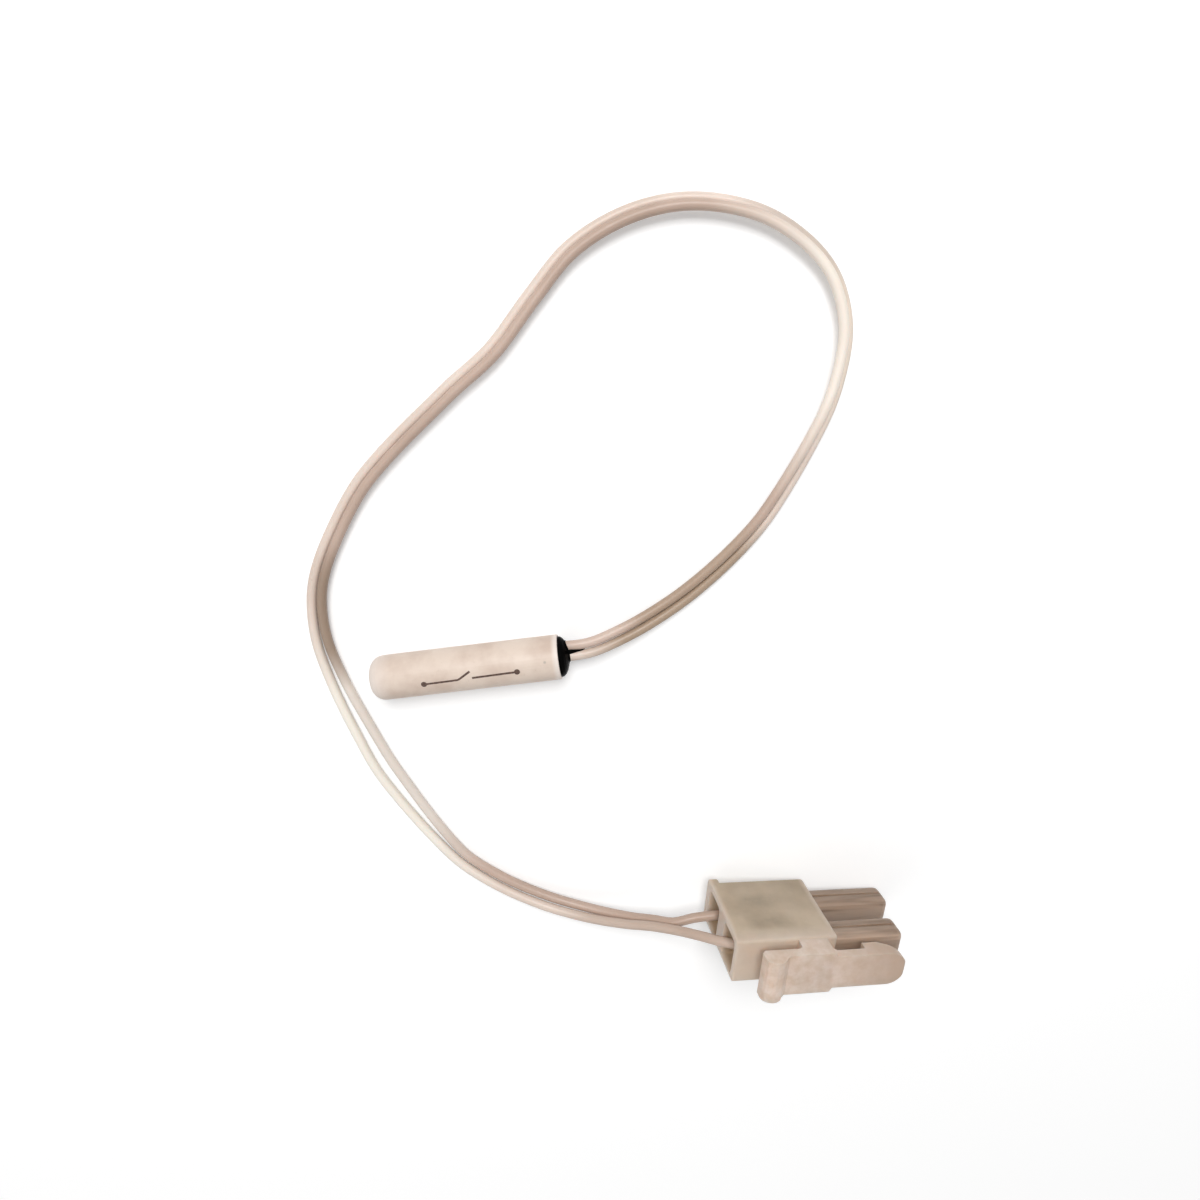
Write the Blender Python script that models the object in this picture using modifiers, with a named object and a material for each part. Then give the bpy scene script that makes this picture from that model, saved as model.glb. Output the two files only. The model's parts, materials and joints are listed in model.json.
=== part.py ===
"""Magnetic reed switch on two loose lead wires that end in a two-way latching plug.

The sensor lies on its side along X, closed end at -X, and its bottom touches Z = 0.
All lengths are in metres.
"""

import math

import bmesh
import bpy
from mathutils import Euler, Matrix, Vector

MM = 0.001
MERGE = 1e-7
SEGMENTS = 48
BORE_SEGMENTS = 24

# Sensor housing
HOUSING_LENGTH = 24.6 * MM
HOUSING_RADIUS = 2.92 * MM
HOUSING_WALL = 0.6 * MM
HOUSING_FLOOR = 1.0 * MM
HOUSING_EDGE = 1.7 * MM
RIM_EDGE = 0.12 * MM

# Potting compound in the mouth and over the rim
FIT_GAP = 0.05 * MM
DOME_RISE = 1.25 * MM
DOME_INSET = 0.26 * MM
WEDGE_REACH = 2.7 * MM
WEDGE_RADIUS = 1.0 * MM

# Reed capsule and its blades
GLASS_LENGTH = 13.0 * MM
GLASS_RADIUS = 1.1 * MM
GLASS_WALL = 0.3 * MM
SEAL_LENGTH = 1.0 * MM
CAPSULE_Y = -0.6 * MM
CAPSULE_FROM_FLOOR = 3.2 * MM
LEAD_RADIUS = 0.25 * MM
LEAD_OUTSIDE = 2.9 * MM
LEAD_CLEARANCE = 0.05 * MM
BLADE_THICKNESS = 0.2 * MM
BLADE_WIDTH = 1.0 * MM
BLADE_OVERLAP = 1.2 * MM
CONTACT_GAP = 0.1 * MM
BLADE_ROOT = 1.2 * MM
SOLDER_LENGTH = 1.8 * MM
SOLDER_SIDE = 0.7 * MM
SOLDER_HEIGHT = 0.5 * MM
SOLDER_CLEARANCE = 0.1 * MM
RETURN_TURN = 0.45 * MM

# Wires
WIRE_RADIUS = 0.65 * MM
WIRE_SPACING = 1.5 * MM
WIRE_PAIR_Y = 0.65 * MM
WIRE_CLEARANCE = 0.06 * MM
CONDUCTOR_RADIUS = 0.28 * MM
STRIPPED_FROM_RIM = 4.0 * MM
END_GAP = 0.1 * MM
WIRE_STEP = 3.0 * MM

# Plug housing, in its own frame: X to the nose, Y across its thin side, Z to the latch
PLUG_LENGTH = 13.66 * MM
PLUG_THICKNESS = 6.31 * MM
PLUG_WIDTH = 11.76 * MM
PLUG_EDGE = 0.3 * MM
CIRCUIT_PITCH = 6.35 * MM
CAVITY_THICKNESS = 4.9 * MM
CAVITY_WIDTH = 4.1 * MM
CAVITY_EDGE = 0.5 * MM
FRONT_WALL = 1.6 * MM
NEAR_SILO_LENGTH = 10.1 * MM
FAR_SILO_LENGTH = 11.3 * MM
SILO_THICKNESS = 3.8 * MM
SILO_WIDTH = 3.6 * MM
SILO_SHIFT = 0.25 * MM
SILO_EDGE = 0.85 * MM
SILO_BORE = 1.28 * MM
GROOVE_WIDTH = 0.5 * MM
GROOVE_DEPTH = 0.18 * MM
LIP_LENGTH = 1.45 * MM
LIP_HEIGHT = 0.9 * MM
LIP_INSET = 0.06 * MM

# Latch lever moulded on the plug
LEVER_REAR = -4.1 * MM
LEVER_STEP = 5.3 * MM
LEVER_NOSE = 15.4 * MM
LEVER_GAP = 1.6 * MM
LEVER_THICKNESS = 1.2 * MM
LEVER_REAR_WIDTH = 6.0 * MM
LEVER_FRONT_WIDTH = 4.8 * MM
LEVER_CORNER = 0.4 * MM
BRIDGE_START = 1.4 * MM
BRIDGE_LENGTH = 4.3 * MM
HOOK_BACK = 9.9 * MM
HOOK_LENGTH = 2.0 * MM
HOOK_DEPTH = 1.0 * MM
RIB_LENGTH = 2.9 * MM
RIB_HEIGHT = 1.2 * MM

# Crimp contacts in the plug
SOCKET_RADIUS = 1.2 * MM
SOCKET_BORE = 0.9 * MM
SOCKET_RECESS = 0.35 * MM
COLLAR_RADIUS = 1.55 * MM
COLLAR_LENGTH = 0.7 * MM
CRIMP_WALL = 0.24 * MM
CRIMP_CLEARANCE = 0.06 * MM
CRIMP_LENGTH = 2.8 * MM
CRIMP_TO_COLLAR = 1.2 * MM
GRIP_LENGTH = 2.2 * MM
GRIP_TO_CRIMP = 1.6 * MM
CRIMP_OPENING = math.radians(36.0)
STRIP_WIDTH = 0.9 * MM

# Where the plug lies and how it leans on its narrow side
PLUG_PLACE = (34.09 * MM, -40.14 * MM, 7.92 * MM)
PLUG_LEAN = (math.radians(2.9), math.radians(9.9), math.radians(-11.1))

# Middle line of the two wires from sensor to plug, chosen by hand:
# X, Y and Z in mm, twist of the pair in degrees, half of their spacing in mm
ROUTE = (
    (14.6, 0.68, 2.86, 0, 0.70),
    (17.6, 1.30, 2.45, 4, 0.70),
    (22.6, 3.00, 1.55, 10, 0.70),
    (28.5, 6.05, 1.05, 18, 0.70),
    (34.6, 10.5, 1.02, 28, 0.70),
    (39.4, 15.2, 1.13, 38, 0.70),
    (46.2, 24.8, 1.25, 52, 0.70),
    (48.7, 30.0, 1.28, 56, 0.70),
    (50.0, 36.0, 1.29, 58, 0.70),
    (48.9, 41.8, 1.29, 58, 0.70),
    (45.6, 46.3, 1.28, 56, 0.70),
    (40.4, 49.9, 1.25, 52, 0.70),
    (33.0, 51.9, 1.22, 48, 0.70),
    (25.9, 51.4, 1.18, 44, 0.70),
    (19.0, 48.6, 1.16, 42, 0.70),
    (13.6, 43.9, 1.14, 40, 0.70),
    (8.00, 38.5, 1.13, 38, 0.70),
    (1.80, 34.4, 1.11, 36, 0.70),
    (-9.6, 25.9, 1.04, 30, 0.70),
    (-15.1, 19.4, 0.98, 24, 0.70),
    (-18.8, 12.9, 0.92, 18, 0.72),
    (-19.9, 6.40, 0.83, 10, 0.78),
    (-19.1, 0.00, 0.76, 4, 0.92),
    (-17.2, -7.3, 0.72, 0, 1.12),
    (-14.6, -15.0, 0.72, 0, 1.25),
    (-7.80, -27.7, 0.82, -8, 0.76),
    (-3.00, -32.5, 1.00, -18, 0.70),
    (3.20, -36.4, 1.45, -34, 0.70),
    (9.40, -38.6, 2.50, -54, 0.70),
    (15.0, -39.3, 4.25, -80, 0.70),
    (18.6, -39.2, 5.60, -90, 0.70),
)

# Same two wires behind the plug, in its own frame: X, Y and Z of their middle and half spacing, in mm
PLUG_ROUTE = (
    (-12.0, -1.75, -3.25, 0.80),
    (-9.50, -0.90, -1.95, 1.72),
    (-7.00, -0.30, -0.74, 2.55),
)

# Values worked out from the sizes above
HALF_LENGTH = (HOUSING_LENGTH + WEDGE_REACH) / 2
HOUSING_START = -HALF_LENGTH
RIM_X = HOUSING_START + HOUSING_LENGTH
FLOOR_X = HOUSING_START + HOUSING_FLOOR
AXIS_Z = HOUSING_RADIUS * math.cos(math.pi / SEGMENTS)
BORE_RADIUS = HOUSING_RADIUS - HOUSING_WALL
CAPSULE_X = FLOOR_X + CAPSULE_FROM_FLOOR + GLASS_LENGTH / 2
PIVOT_REACH = GLASS_LENGTH / 2 - SEAL_LENGTH / 2
LEAD_END = GLASS_LENGTH / 2 + LEAD_OUTSIDE
STRIP_X = RIM_X - STRIPPED_FROM_RIM
WIRE_A_Y = WIRE_PAIR_Y + WIRE_SPACING / 2
WIRE_B_Y = WIRE_PAIR_Y - WIRE_SPACING / 2
JOIN_Y = CAPSULE_Y + LEAD_RADIUS + CONDUCTOR_RADIUS + LEAD_CLEARANCE
SOLDER_Y = (CAPSULE_Y + JOIN_Y) / 2
PLUG_FRONT = PLUG_LENGTH / 2
CAVITY_FLOOR = PLUG_FRONT - FRONT_WALL
NEAR_SILO_TIP = PLUG_FRONT + NEAR_SILO_LENGTH
FAR_SILO_TIP = PLUG_FRONT + FAR_SILO_LENGTH
COLLAR_FRONT = CAVITY_FLOOR - FIT_GAP
COLLAR_BACK = COLLAR_FRONT - COLLAR_LENGTH
CRIMP_FRONT = COLLAR_BACK - CRIMP_TO_COLLAR
CRIMP_BACK = CRIMP_FRONT - CRIMP_LENGTH
GRIP_FRONT = CRIMP_BACK - GRIP_TO_CRIMP
GRIP_BACK = GRIP_FRONT - GRIP_LENGTH
JACKET_END = (CRIMP_BACK + GRIP_FRONT) / 2
WIRE_STRAIGHT = GRIP_BACK - (PLUG_FRONT + GRIP_BACK) / 4


def clear_scene():
    """Remove every object and make the two collections."""
    for item in list(bpy.data.objects):
        bpy.data.objects.remove(item, do_unlink=True)
    made = {}
    for name in ("parts", "cutters"):
        collection = bpy.data.collections.new(name)
        bpy.context.scene.collection.children.link(collection)
        made[name] = collection
    return made


COLLECTIONS = clear_scene()


def make_material(name, colour, roughness, metallic=0.0, alpha=1.0):
    """Return a Principled material."""
    material = bpy.data.materials.new(name)
    material.use_nodes = True
    shader = material.node_tree.nodes["Principled BSDF"]
    shader.inputs["Base Color"].default_value = (*colour, 1.0)
    shader.inputs["Roughness"].default_value = roughness
    shader.inputs["Metallic"].default_value = metallic
    shader.inputs["Alpha"].default_value = alpha
    material.diffuse_color = (*colour, alpha)
    return material


MATERIALS = {
    "housing": make_material("housing", (0.86, 0.80, 0.76), 0.45),
    "potting": make_material("potting", (0.02, 0.02, 0.02), 0.25),
    "glass": make_material("glass", (0.62, 0.78, 0.66), 0.05, alpha=0.35),
    "reed": make_material("reed", (0.70, 0.68, 0.64), 0.3, 1.0),
    "solder": make_material("solder", (0.66, 0.67, 0.69), 0.3, 1.0),
    "conductor": make_material("conductor", (0.78, 0.77, 0.75), 0.35, 1.0),
    "jacket": make_material("jacket", (0.84, 0.79, 0.72), 0.5),
    "nylon": make_material("nylon", (0.80, 0.76, 0.70), 0.4),
    "contact": make_material("contact", (0.76, 0.74, 0.70), 0.3, 1.0),
}


def place(item, material, cutter=False):
    """Link an object, give it its material, and hide it if it only cuts."""
    for collection in list(item.users_collection):
        collection.objects.unlink(item)
    COLLECTIONS["cutters" if cutter else "parts"].objects.link(item)
    if cutter:
        item.hide_render = True
        item.display_type = "WIRE"
    if material:
        item.data.materials.clear()
        item.data.materials.append(MATERIALS[material])
    return item


def smooth_round_faces(item, limit=math.radians(32.0)):
    """Shade a mesh smooth and keep the edges sharper than the limit."""
    for polygon in item.data.polygons:
        polygon.use_smooth = True
    item.data.set_sharp_from_angle(angle=limit)


def lathe(name, profile, material=None, y=0.0, z=AXIS_Z, closed=False, segments=SEGMENTS):
    """Turn a profile of (x, radius) points about a line along X."""
    phase = math.pi / segments
    points = [(x, r * math.sin(phase), r * math.cos(phase)) for x, r in profile]
    edges = [(i, i + 1) for i in range(len(points) - 1)]
    if closed:
        edges.append((len(points) - 1, 0))
    mesh = bpy.data.meshes.new(name)
    mesh.from_pydata(points, edges, [])
    item = bpy.data.objects.new(name, mesh)
    item.location = (0.0, y, z)
    turn = item.modifiers.new("turn", "SCREW")
    turn.axis = "X"
    turn.angle = math.tau
    turn.steps = segments
    turn.render_steps = segments
    turn.use_merge_vertices = True
    turn.merge_threshold = MERGE
    turn.use_normal_calculate = True
    return place(item, material, cutter=material is None)


def arc(centre_x, centre_r, radius, start, stop, steps):
    """Return (x, radius) points on an arc, angles in degrees from the X axis."""
    points = []
    for i in range(steps + 1):
        angle = math.radians(start + (stop - start) * i / steps)
        points.append((centre_x + radius * math.cos(angle), centre_r + radius * math.sin(angle)))
    return points


def box(name, low, high, edge=0.0, material=None, parent=None, steps=2):
    """Make a block between two corners, with rounded edges."""
    low, high = Vector(low), Vector(high)
    mesh = bpy.data.meshes.new(name)
    shape = bmesh.new()
    bmesh.ops.create_cube(shape, size=1.0)
    bmesh.ops.scale(shape, vec=high - low, verts=shape.verts)
    bmesh.ops.translate(shape, vec=(low + high) / 2, verts=shape.verts)
    shape.to_mesh(mesh)
    shape.free()
    item = bpy.data.objects.new(name, mesh)
    item.parent = parent
    if edge:
        bevel = item.modifiers.new("edges", "BEVEL")
        bevel.width = edge
        bevel.segments = steps
        bevel.limit_method = "ANGLE"
        bevel.use_clamp_overlap = False
    return place(item, material, cutter=material is None)


def rod(name, start, end, radius, material=None, parent=None, segments=BORE_SEGMENTS):
    """Make a round bar between two points."""
    start, end = Vector(start), Vector(end)
    mesh = bpy.data.meshes.new(name)
    shape = bmesh.new()
    turn = (end - start).to_track_quat("Z", "Y").to_matrix().to_4x4()
    bmesh.ops.create_cone(
        shape, cap_ends=True, segments=segments, radius1=radius, radius2=radius,
        depth=(end - start).length, matrix=Matrix.Translation((start + end) / 2) @ turn,
    )
    shape.to_mesh(mesh)
    shape.free()
    item = bpy.data.objects.new(name, mesh)
    item.parent = parent
    place(item, material, cutter=material is None)
    smooth_round_faces(item)
    return item


def prism(name, outline, half_depth, parent=None, turn=(0.0, 0.0, 0.0), at=(0, 0, 0)):
    """Fill a flat outline, give it depth on both sides of its plane, and keep it as a tool mesh."""
    curve = bpy.data.curves.new(name, "CURVE")
    curve.dimensions = "2D"
    curve.fill_mode = "BOTH"
    curve.extrude = half_depth
    spline = curve.splines.new("POLY")
    spline.points.add(len(outline) - 1)
    for point, (x, y) in zip(spline.points, outline):
        point.co = (x, y, 0.0, 1.0)
    spline.use_cyclic_u = True
    drawn = bpy.data.objects.new(f"{name}_outline", curve)
    mesh = bpy.data.meshes.new_from_object(drawn)
    bpy.data.objects.remove(drawn)
    shape = bmesh.new()
    shape.from_mesh(mesh)
    bmesh.ops.remove_doubles(shape, verts=shape.verts, dist=MERGE)
    bmesh.ops.recalc_face_normals(shape, faces=shape.faces)
    shape.to_mesh(mesh)
    shape.free()
    item = bpy.data.objects.new(name, mesh)
    item.rotation_euler = turn
    item.location = at
    item.parent = parent
    return place(item, None, cutter=True)


def tube(name, points, radius, material):
    """Sweep a round section along points, with closed ends."""
    curve = bpy.data.curves.new(name, "CURVE")
    curve.dimensions = "3D"
    curve.bevel_depth = radius
    curve.bevel_resolution = 2
    curve.use_fill_caps = True
    spline = curve.splines.new("POLY")
    spline.points.add(len(points) - 1)
    for point, place_at in zip(spline.points, points):
        point.co = (*place_at, 1.0)
    spline.use_smooth = True
    item = bpy.data.objects.new(name, curve)
    return place(item, material)


def combine(item, tool, operation):
    """Add, cut or keep the overlap with a tool that isn't rendered."""
    step = item.modifiers.new(f"{operation.lower()}_{tool.name}", "BOOLEAN")
    step.operation = operation
    step.solver = "EXACT"
    step.object = tool
    return item


def smooth_curve(controls, step):
    """Return evenly spaced points on a smooth curve through the control points."""
    knots = [Vector(c) for c in controls]
    ends = [knots[0] * 2 - knots[1]] + knots + [knots[-1] * 2 - knots[-2]]
    dense = []
    for p0, p1, p2, p3 in zip(ends, ends[1:], ends[2:], ends[3:]):
        span = (p2 - p1).length
        out = (p2 - p0) / ((p1 - p0).length + span) * span
        into = (p3 - p1) / (span + (p3 - p2).length) * span
        for i in range(24):
            t = i / 24
            dense.append(
                p1 * (2 * t**3 - 3 * t**2 + 1) + out * (t**3 - 2 * t**2 + t)
                + p2 * (3 * t**2 - 2 * t**3) + into * (t**3 - t**2)
            )
    dense.append(knots[-1])
    total = sum((b - a).length for a, b in zip(dense, dense[1:]))
    count = max(2, round(total / step))
    points, walked, target = [dense[0]], 0.0, total / count
    for a, b in zip(dense, dense[1:]):
        length = (b - a).length
        while walked + length >= target - MERGE and len(points) < count:
            points.append(a.lerp(b, (target - walked) / length))
            target += total / count
        walked += length
    points.append(dense[-1])
    return points


def wire_controls(side, plug):
    """Return the control points of one wire: side is 1 for wire_a and -1 for wire_b."""
    start_y = WIRE_PAIR_Y + side * WIRE_SPACING / 2
    controls = [Vector((STRIP_X + END_GAP, start_y, AXIS_Z))]
    controls.append(Vector(((STRIP_X + RIM_X) / 2, start_y, AXIS_Z)))
    controls.append(Vector((RIM_X, start_y, AXIS_Z)))
    middles = [Vector(row[:3]) * MM for row in ROUTE]
    ahead = middles[1:] + [plug @ (Vector(PLUG_ROUTE[0][:3]) * MM)]
    before = [controls[-1]] + middles[:-1]
    for row, middle, last, following in zip(ROUTE, middles, before, ahead):
        along = (following - last).normalized()
        left = Vector((-along.y, along.x, 0.0)).normalized()
        up = along.cross(left)
        twist = math.radians(row[3])
        offset = (left * math.cos(twist) + up * math.sin(twist)) * row[4] * MM
        controls.append(middle + offset * side)
    for x, y, z, spacing in PLUG_ROUTE:
        controls.append(plug @ (Vector((x, y, z - side * spacing)) * MM))
    circuit = -side * CIRCUIT_PITCH / 2
    for x in (WIRE_STRAIGHT, GRIP_BACK, JACKET_END - END_GAP):
        controls.append(plug @ Vector((x, 0.0, circuit)))
    return controls


def build_housing():
    """Model the moulded tube with its closed, rounded end."""
    rim = arc(RIM_X - RIM_EDGE, HOUSING_RADIUS - RIM_EDGE, RIM_EDGE, 90, 0, 3)
    profile = [(HOUSING_START, 0.0)]
    profile += arc(HOUSING_START + HOUSING_EDGE, HOUSING_RADIUS - HOUSING_EDGE, HOUSING_EDGE, 180, 90, 6)
    profile += rim
    profile += [(RIM_X, BORE_RADIUS), (FLOOR_X, BORE_RADIUS), (FLOOR_X, 0.0)]
    return lathe("sensor_housing", profile, "housing")


def build_potting():
    """Model the compound that fills the tube, domes over its rim and creeps up the wires."""
    radius = BORE_RADIUS - FIT_GAP
    cover = RIM_X + FIT_GAP
    wide = HOUSING_RADIUS - DOME_INSET
    profile = [(FLOOR_X + FIT_GAP, 0.0), (FLOOR_X + FIT_GAP, radius), (cover, radius), (cover, wide)]
    for i in range(1, 7):
        angle = math.radians(90 * i / 6)
        across = wide * math.cos(angle) if i < 6 else 0.0
        profile.append((cover + (DOME_RISE - FIT_GAP) * math.sin(angle), across))
    potting = lathe("potting_compound", profile, "potting")

    tip = RIM_X + WEDGE_REACH
    root = RIM_X - DOME_RISE
    creep = []
    for i in range(7):
        share = i / 6
        creep.append((root + (tip - root) * share, WEDGE_RADIUS * (1 - share) ** 0.6))
    creep = [(root, 0.0)] + creep
    wedge = lathe("wedge_tool", creep, y=WIRE_PAIR_Y, segments=BORE_SEGMENTS)
    combine(potting, wedge, "UNION")

    z = AXIS_Z
    side = SOLDER_SIDE + SOLDER_CLEARANCE
    high = SOLDER_HEIGHT + SOLDER_CLEARANCE
    return_radius = CONDUCTOR_RADIUS + LEAD_CLEARANCE
    tools = [
        rod("glass_bore", (FLOOR_X - MM, CAPSULE_Y, z),
            (CAPSULE_X + GLASS_LENGTH / 2 + FIT_GAP, CAPSULE_Y, z), GLASS_RADIUS + FIT_GAP),
        rod("return_bore", (FLOOR_X - MM, WIRE_A_Y, z),
            (STRIP_X + MM, WIRE_A_Y, z), return_radius),
        box("near_chamber", (CAPSULE_X + GLASS_LENGTH / 2 - MM / 2, SOLDER_Y - side, z - high),
            (STRIP_X + END_GAP, SOLDER_Y + side, z + high)),
        box("far_chamber", (FLOOR_X - MM, SOLDER_Y - side, z - high),
            (CAPSULE_X - GLASS_LENGTH / 2 + MM / 2, WIRE_A_Y + return_radius, z + high)),
    ]
    for name, y in (("wire_a_bore", WIRE_A_Y), ("wire_b_bore", WIRE_B_Y)):
        tools.append(rod(name, (STRIP_X, y, z), (tip + MM, y, z), WIRE_RADIUS + WIRE_CLEARANCE))
    for tool in tools:
        combine(potting, tool, "DIFFERENCE")
    return potting


def build_glass():
    """Model the sealed glass tube with a hole at each end for the lead."""
    half = GLASS_LENGTH / 2
    hole = LEAD_RADIUS + LEAD_CLEARANCE
    inner = GLASS_RADIUS - GLASS_WALL
    shoulder = GLASS_RADIUS - hole
    outside = arc(-half + shoulder, hole, shoulder, 180, 90, 6)
    inside = [(-half + SEAL_LENGTH, hole), (-half + SEAL_LENGTH + (inner - hole), inner)]
    left = [(x, r) for x, r in outside]
    right = [(-x, r) for x, r in reversed(outside)]
    profile = left + right + [(-x, r) for x, r in inside] + list(reversed(inside))
    glass = lathe("glass_capsule", profile, "glass", y=CAPSULE_Y, closed=True, segments=32)
    glass.location.x = CAPSULE_X
    return glass


def build_reed(name, direction):
    """Model a blade, flat inside the glass and round outside, with its origin on the seal."""
    flat_y = (CONTACT_GAP + BLADE_THICKNESS) / 2
    tip = -(PIVOT_REACH + BLADE_OVERLAP / 2)
    flat_end = -(SEAL_LENGTH / 2 + BLADE_ROOT)
    round_start = -SEAL_LENGTH / 2
    lead_end = LEAD_END - PIVOT_REACH
    # each section: x, shift in y, half thickness, half width, squareness
    sections = (
        (tip, flat_y, BLADE_THICKNESS / 2, BLADE_WIDTH / 2 * 0.92, 0.35),
        (tip + 0.1 * MM, flat_y, BLADE_THICKNESS / 2, BLADE_WIDTH / 2, 0.35),
        (flat_end, flat_y, BLADE_THICKNESS / 2, BLADE_WIDTH / 2, 0.35),
        ((flat_end + round_start) / 2, flat_y / 2, BLADE_THICKNESS * 0.75, BLADE_WIDTH * 0.38, 0.7),
        (round_start, 0.0, LEAD_RADIUS, LEAD_RADIUS, 1.0),
        (lead_end, 0.0, LEAD_RADIUS, LEAD_RADIUS, 1.0),
    )
    shape = bmesh.new()
    rings = []
    for x, shift, thick, wide, square in sections:
        ring = bmesh.ops.create_circle(shape, segments=16, radius=1.0)["verts"]
        for vert in ring:
            across, upward = vert.co.x, vert.co.y
            vert.co = (
                x,
                shift + thick * math.copysign(abs(across) ** square, across),
                wide * math.copysign(abs(upward) ** square, upward),
            )
        rings.append([edge for edge in shape.edges if all(v in ring for v in edge.verts)])
    for first, second in zip(rings, rings[1:]):
        bmesh.ops.bridge_loops(shape, edges=first + second)
    for ring in (rings[0], rings[-1]):
        bmesh.ops.contextual_create(shape, geom=ring)
    bmesh.ops.recalc_face_normals(shape, faces=shape.faces)
    mesh = bpy.data.meshes.new(name)
    shape.to_mesh(mesh)
    shape.free()
    item = bpy.data.objects.new(name, mesh)
    item.location = (CAPSULE_X + direction * PIVOT_REACH, CAPSULE_Y, AXIS_Z)
    item.rotation_euler = (0.0, 0.0, 0.0 if direction > 0 else math.pi)
    place(item, "reed")
    smooth_round_faces(item)
    return item


def build_solder(name, centre_x):
    """Model the solder that bridges a lead and a conductor lying side by side."""
    mesh = bpy.data.meshes.new(name)
    shape = bmesh.new()
    bmesh.ops.create_uvsphere(shape, u_segments=24, v_segments=12, radius=1.0)
    bmesh.ops.scale(shape, vec=(SOLDER_LENGTH / 2, SOLDER_SIDE, SOLDER_HEIGHT), verts=shape.verts)
    shape.to_mesh(mesh)
    shape.free()
    item = bpy.data.objects.new(name, mesh)
    item.location = (centre_x, SOLDER_Y, AXIS_Z)
    place(item, "solder")
    smooth_round_faces(item)
    reach = SOLDER_LENGTH
    for label, y, radius in (("lead", CAPSULE_Y, LEAD_RADIUS), ("strand", JOIN_Y, CONDUCTOR_RADIUS)):
        tool = rod(f"{name}_{label}_bore", (centre_x - reach, y, AXIS_Z), (centre_x + reach, y, AXIS_Z),
                   radius + LEAD_CLEARANCE)
        combine(item, tool, "DIFFERENCE")
    return item


def build_sensor_conductors():
    """Model the stripped ends that run to the near and the far lead."""
    near_end = CAPSULE_X + LEAD_END
    far_glass = CAPSULE_X - GLASS_LENGTH / 2
    solder_near = near_end - SOLDER_LENGTH / 2 - LEAD_RADIUS
    solder_far = CAPSULE_X - LEAD_END + SOLDER_LENGTH / 2 + LEAD_RADIUS
    z = AXIS_Z
    back = solder_near - SOLDER_LENGTH / 2
    short = [(STRIP_X, WIRE_B_Y, z), (near_end, JOIN_Y, z), (back, JOIN_Y, z)]
    across = JOIN_Y - WIRE_A_Y
    long = [(STRIP_X, WIRE_A_Y, z), (far_glass, WIRE_A_Y, z)]
    for turns, share in ((1, 0.18), (2, 0.65), (3, 1.0)):
        long.append((far_glass - turns * RETURN_TURN, WIRE_A_Y + across * share, z))
    long.append((solder_far - SOLDER_LENGTH / 2, JOIN_Y, z))
    tube("conductor_sensor_a", long, CONDUCTOR_RADIUS, "conductor")
    tube("conductor_sensor_b", short, CONDUCTOR_RADIUS, "conductor")
    build_solder("solder_joint_near", solder_near)
    build_solder("solder_joint_far", solder_far)


def lever_profile():
    """Return the side outline of the latch lever as (x, z) points."""
    low = PLUG_WIDTH / 2 + LEVER_GAP
    top = low + LEVER_THICKNESS
    root = PLUG_WIDTH / 2 - MM / 2
    corner = LEVER_CORNER
    bridge_end = BRIDGE_START + BRIDGE_LENGTH
    hook_end = HOOK_BACK + HOOK_LENGTH
    nose = LEVER_THICKNESS * 0.35
    outline = [(LEVER_REAR + corner, low), (BRIDGE_START - corner, low), (BRIDGE_START, low - corner)]
    outline += [(BRIDGE_START, root), (bridge_end, root), (bridge_end, low - corner)]
    outline += [(bridge_end + corner, low), (HOOK_BACK, low), (HOOK_BACK, low - HOOK_DEPTH)]
    outline += [(hook_end, low - HOOK_DEPTH), (LEVER_NOSE - nose, top - 2 * nose)]
    outline += arc(LEVER_NOSE - nose, top - nose, nose, -60, 90, 5)
    rib_middle = LEVER_REAR + RIB_LENGTH / 2
    outline.append((LEVER_REAR + RIB_LENGTH + corner, top))
    for i in range(1, 10):
        angle = math.pi * i / 10
        outline.append((rib_middle + RIB_LENGTH / 2 * math.cos(angle), top + RIB_HEIGHT * math.sin(angle)))
    outline += [(LEVER_REAR, top), (LEVER_REAR, low + corner)]
    return outline


def lever_plan():
    """Return the plan outline of the latch lever as (x, y) points."""
    rear = LEVER_REAR_WIDTH / 2
    front = LEVER_FRONT_WIDTH / 2
    nose_start = LEVER_NOSE - front
    slope = (rear - front) * 0.6
    side = [(LEVER_REAR - MM, rear), (LEVER_STEP, rear), (LEVER_STEP + slope, front)]
    nose = arc(nose_start, 0.0, front + 0.02 * MM, 90, -90, 18)
    return side + nose + [(x, -y) for x, y in reversed(side)]


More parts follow.
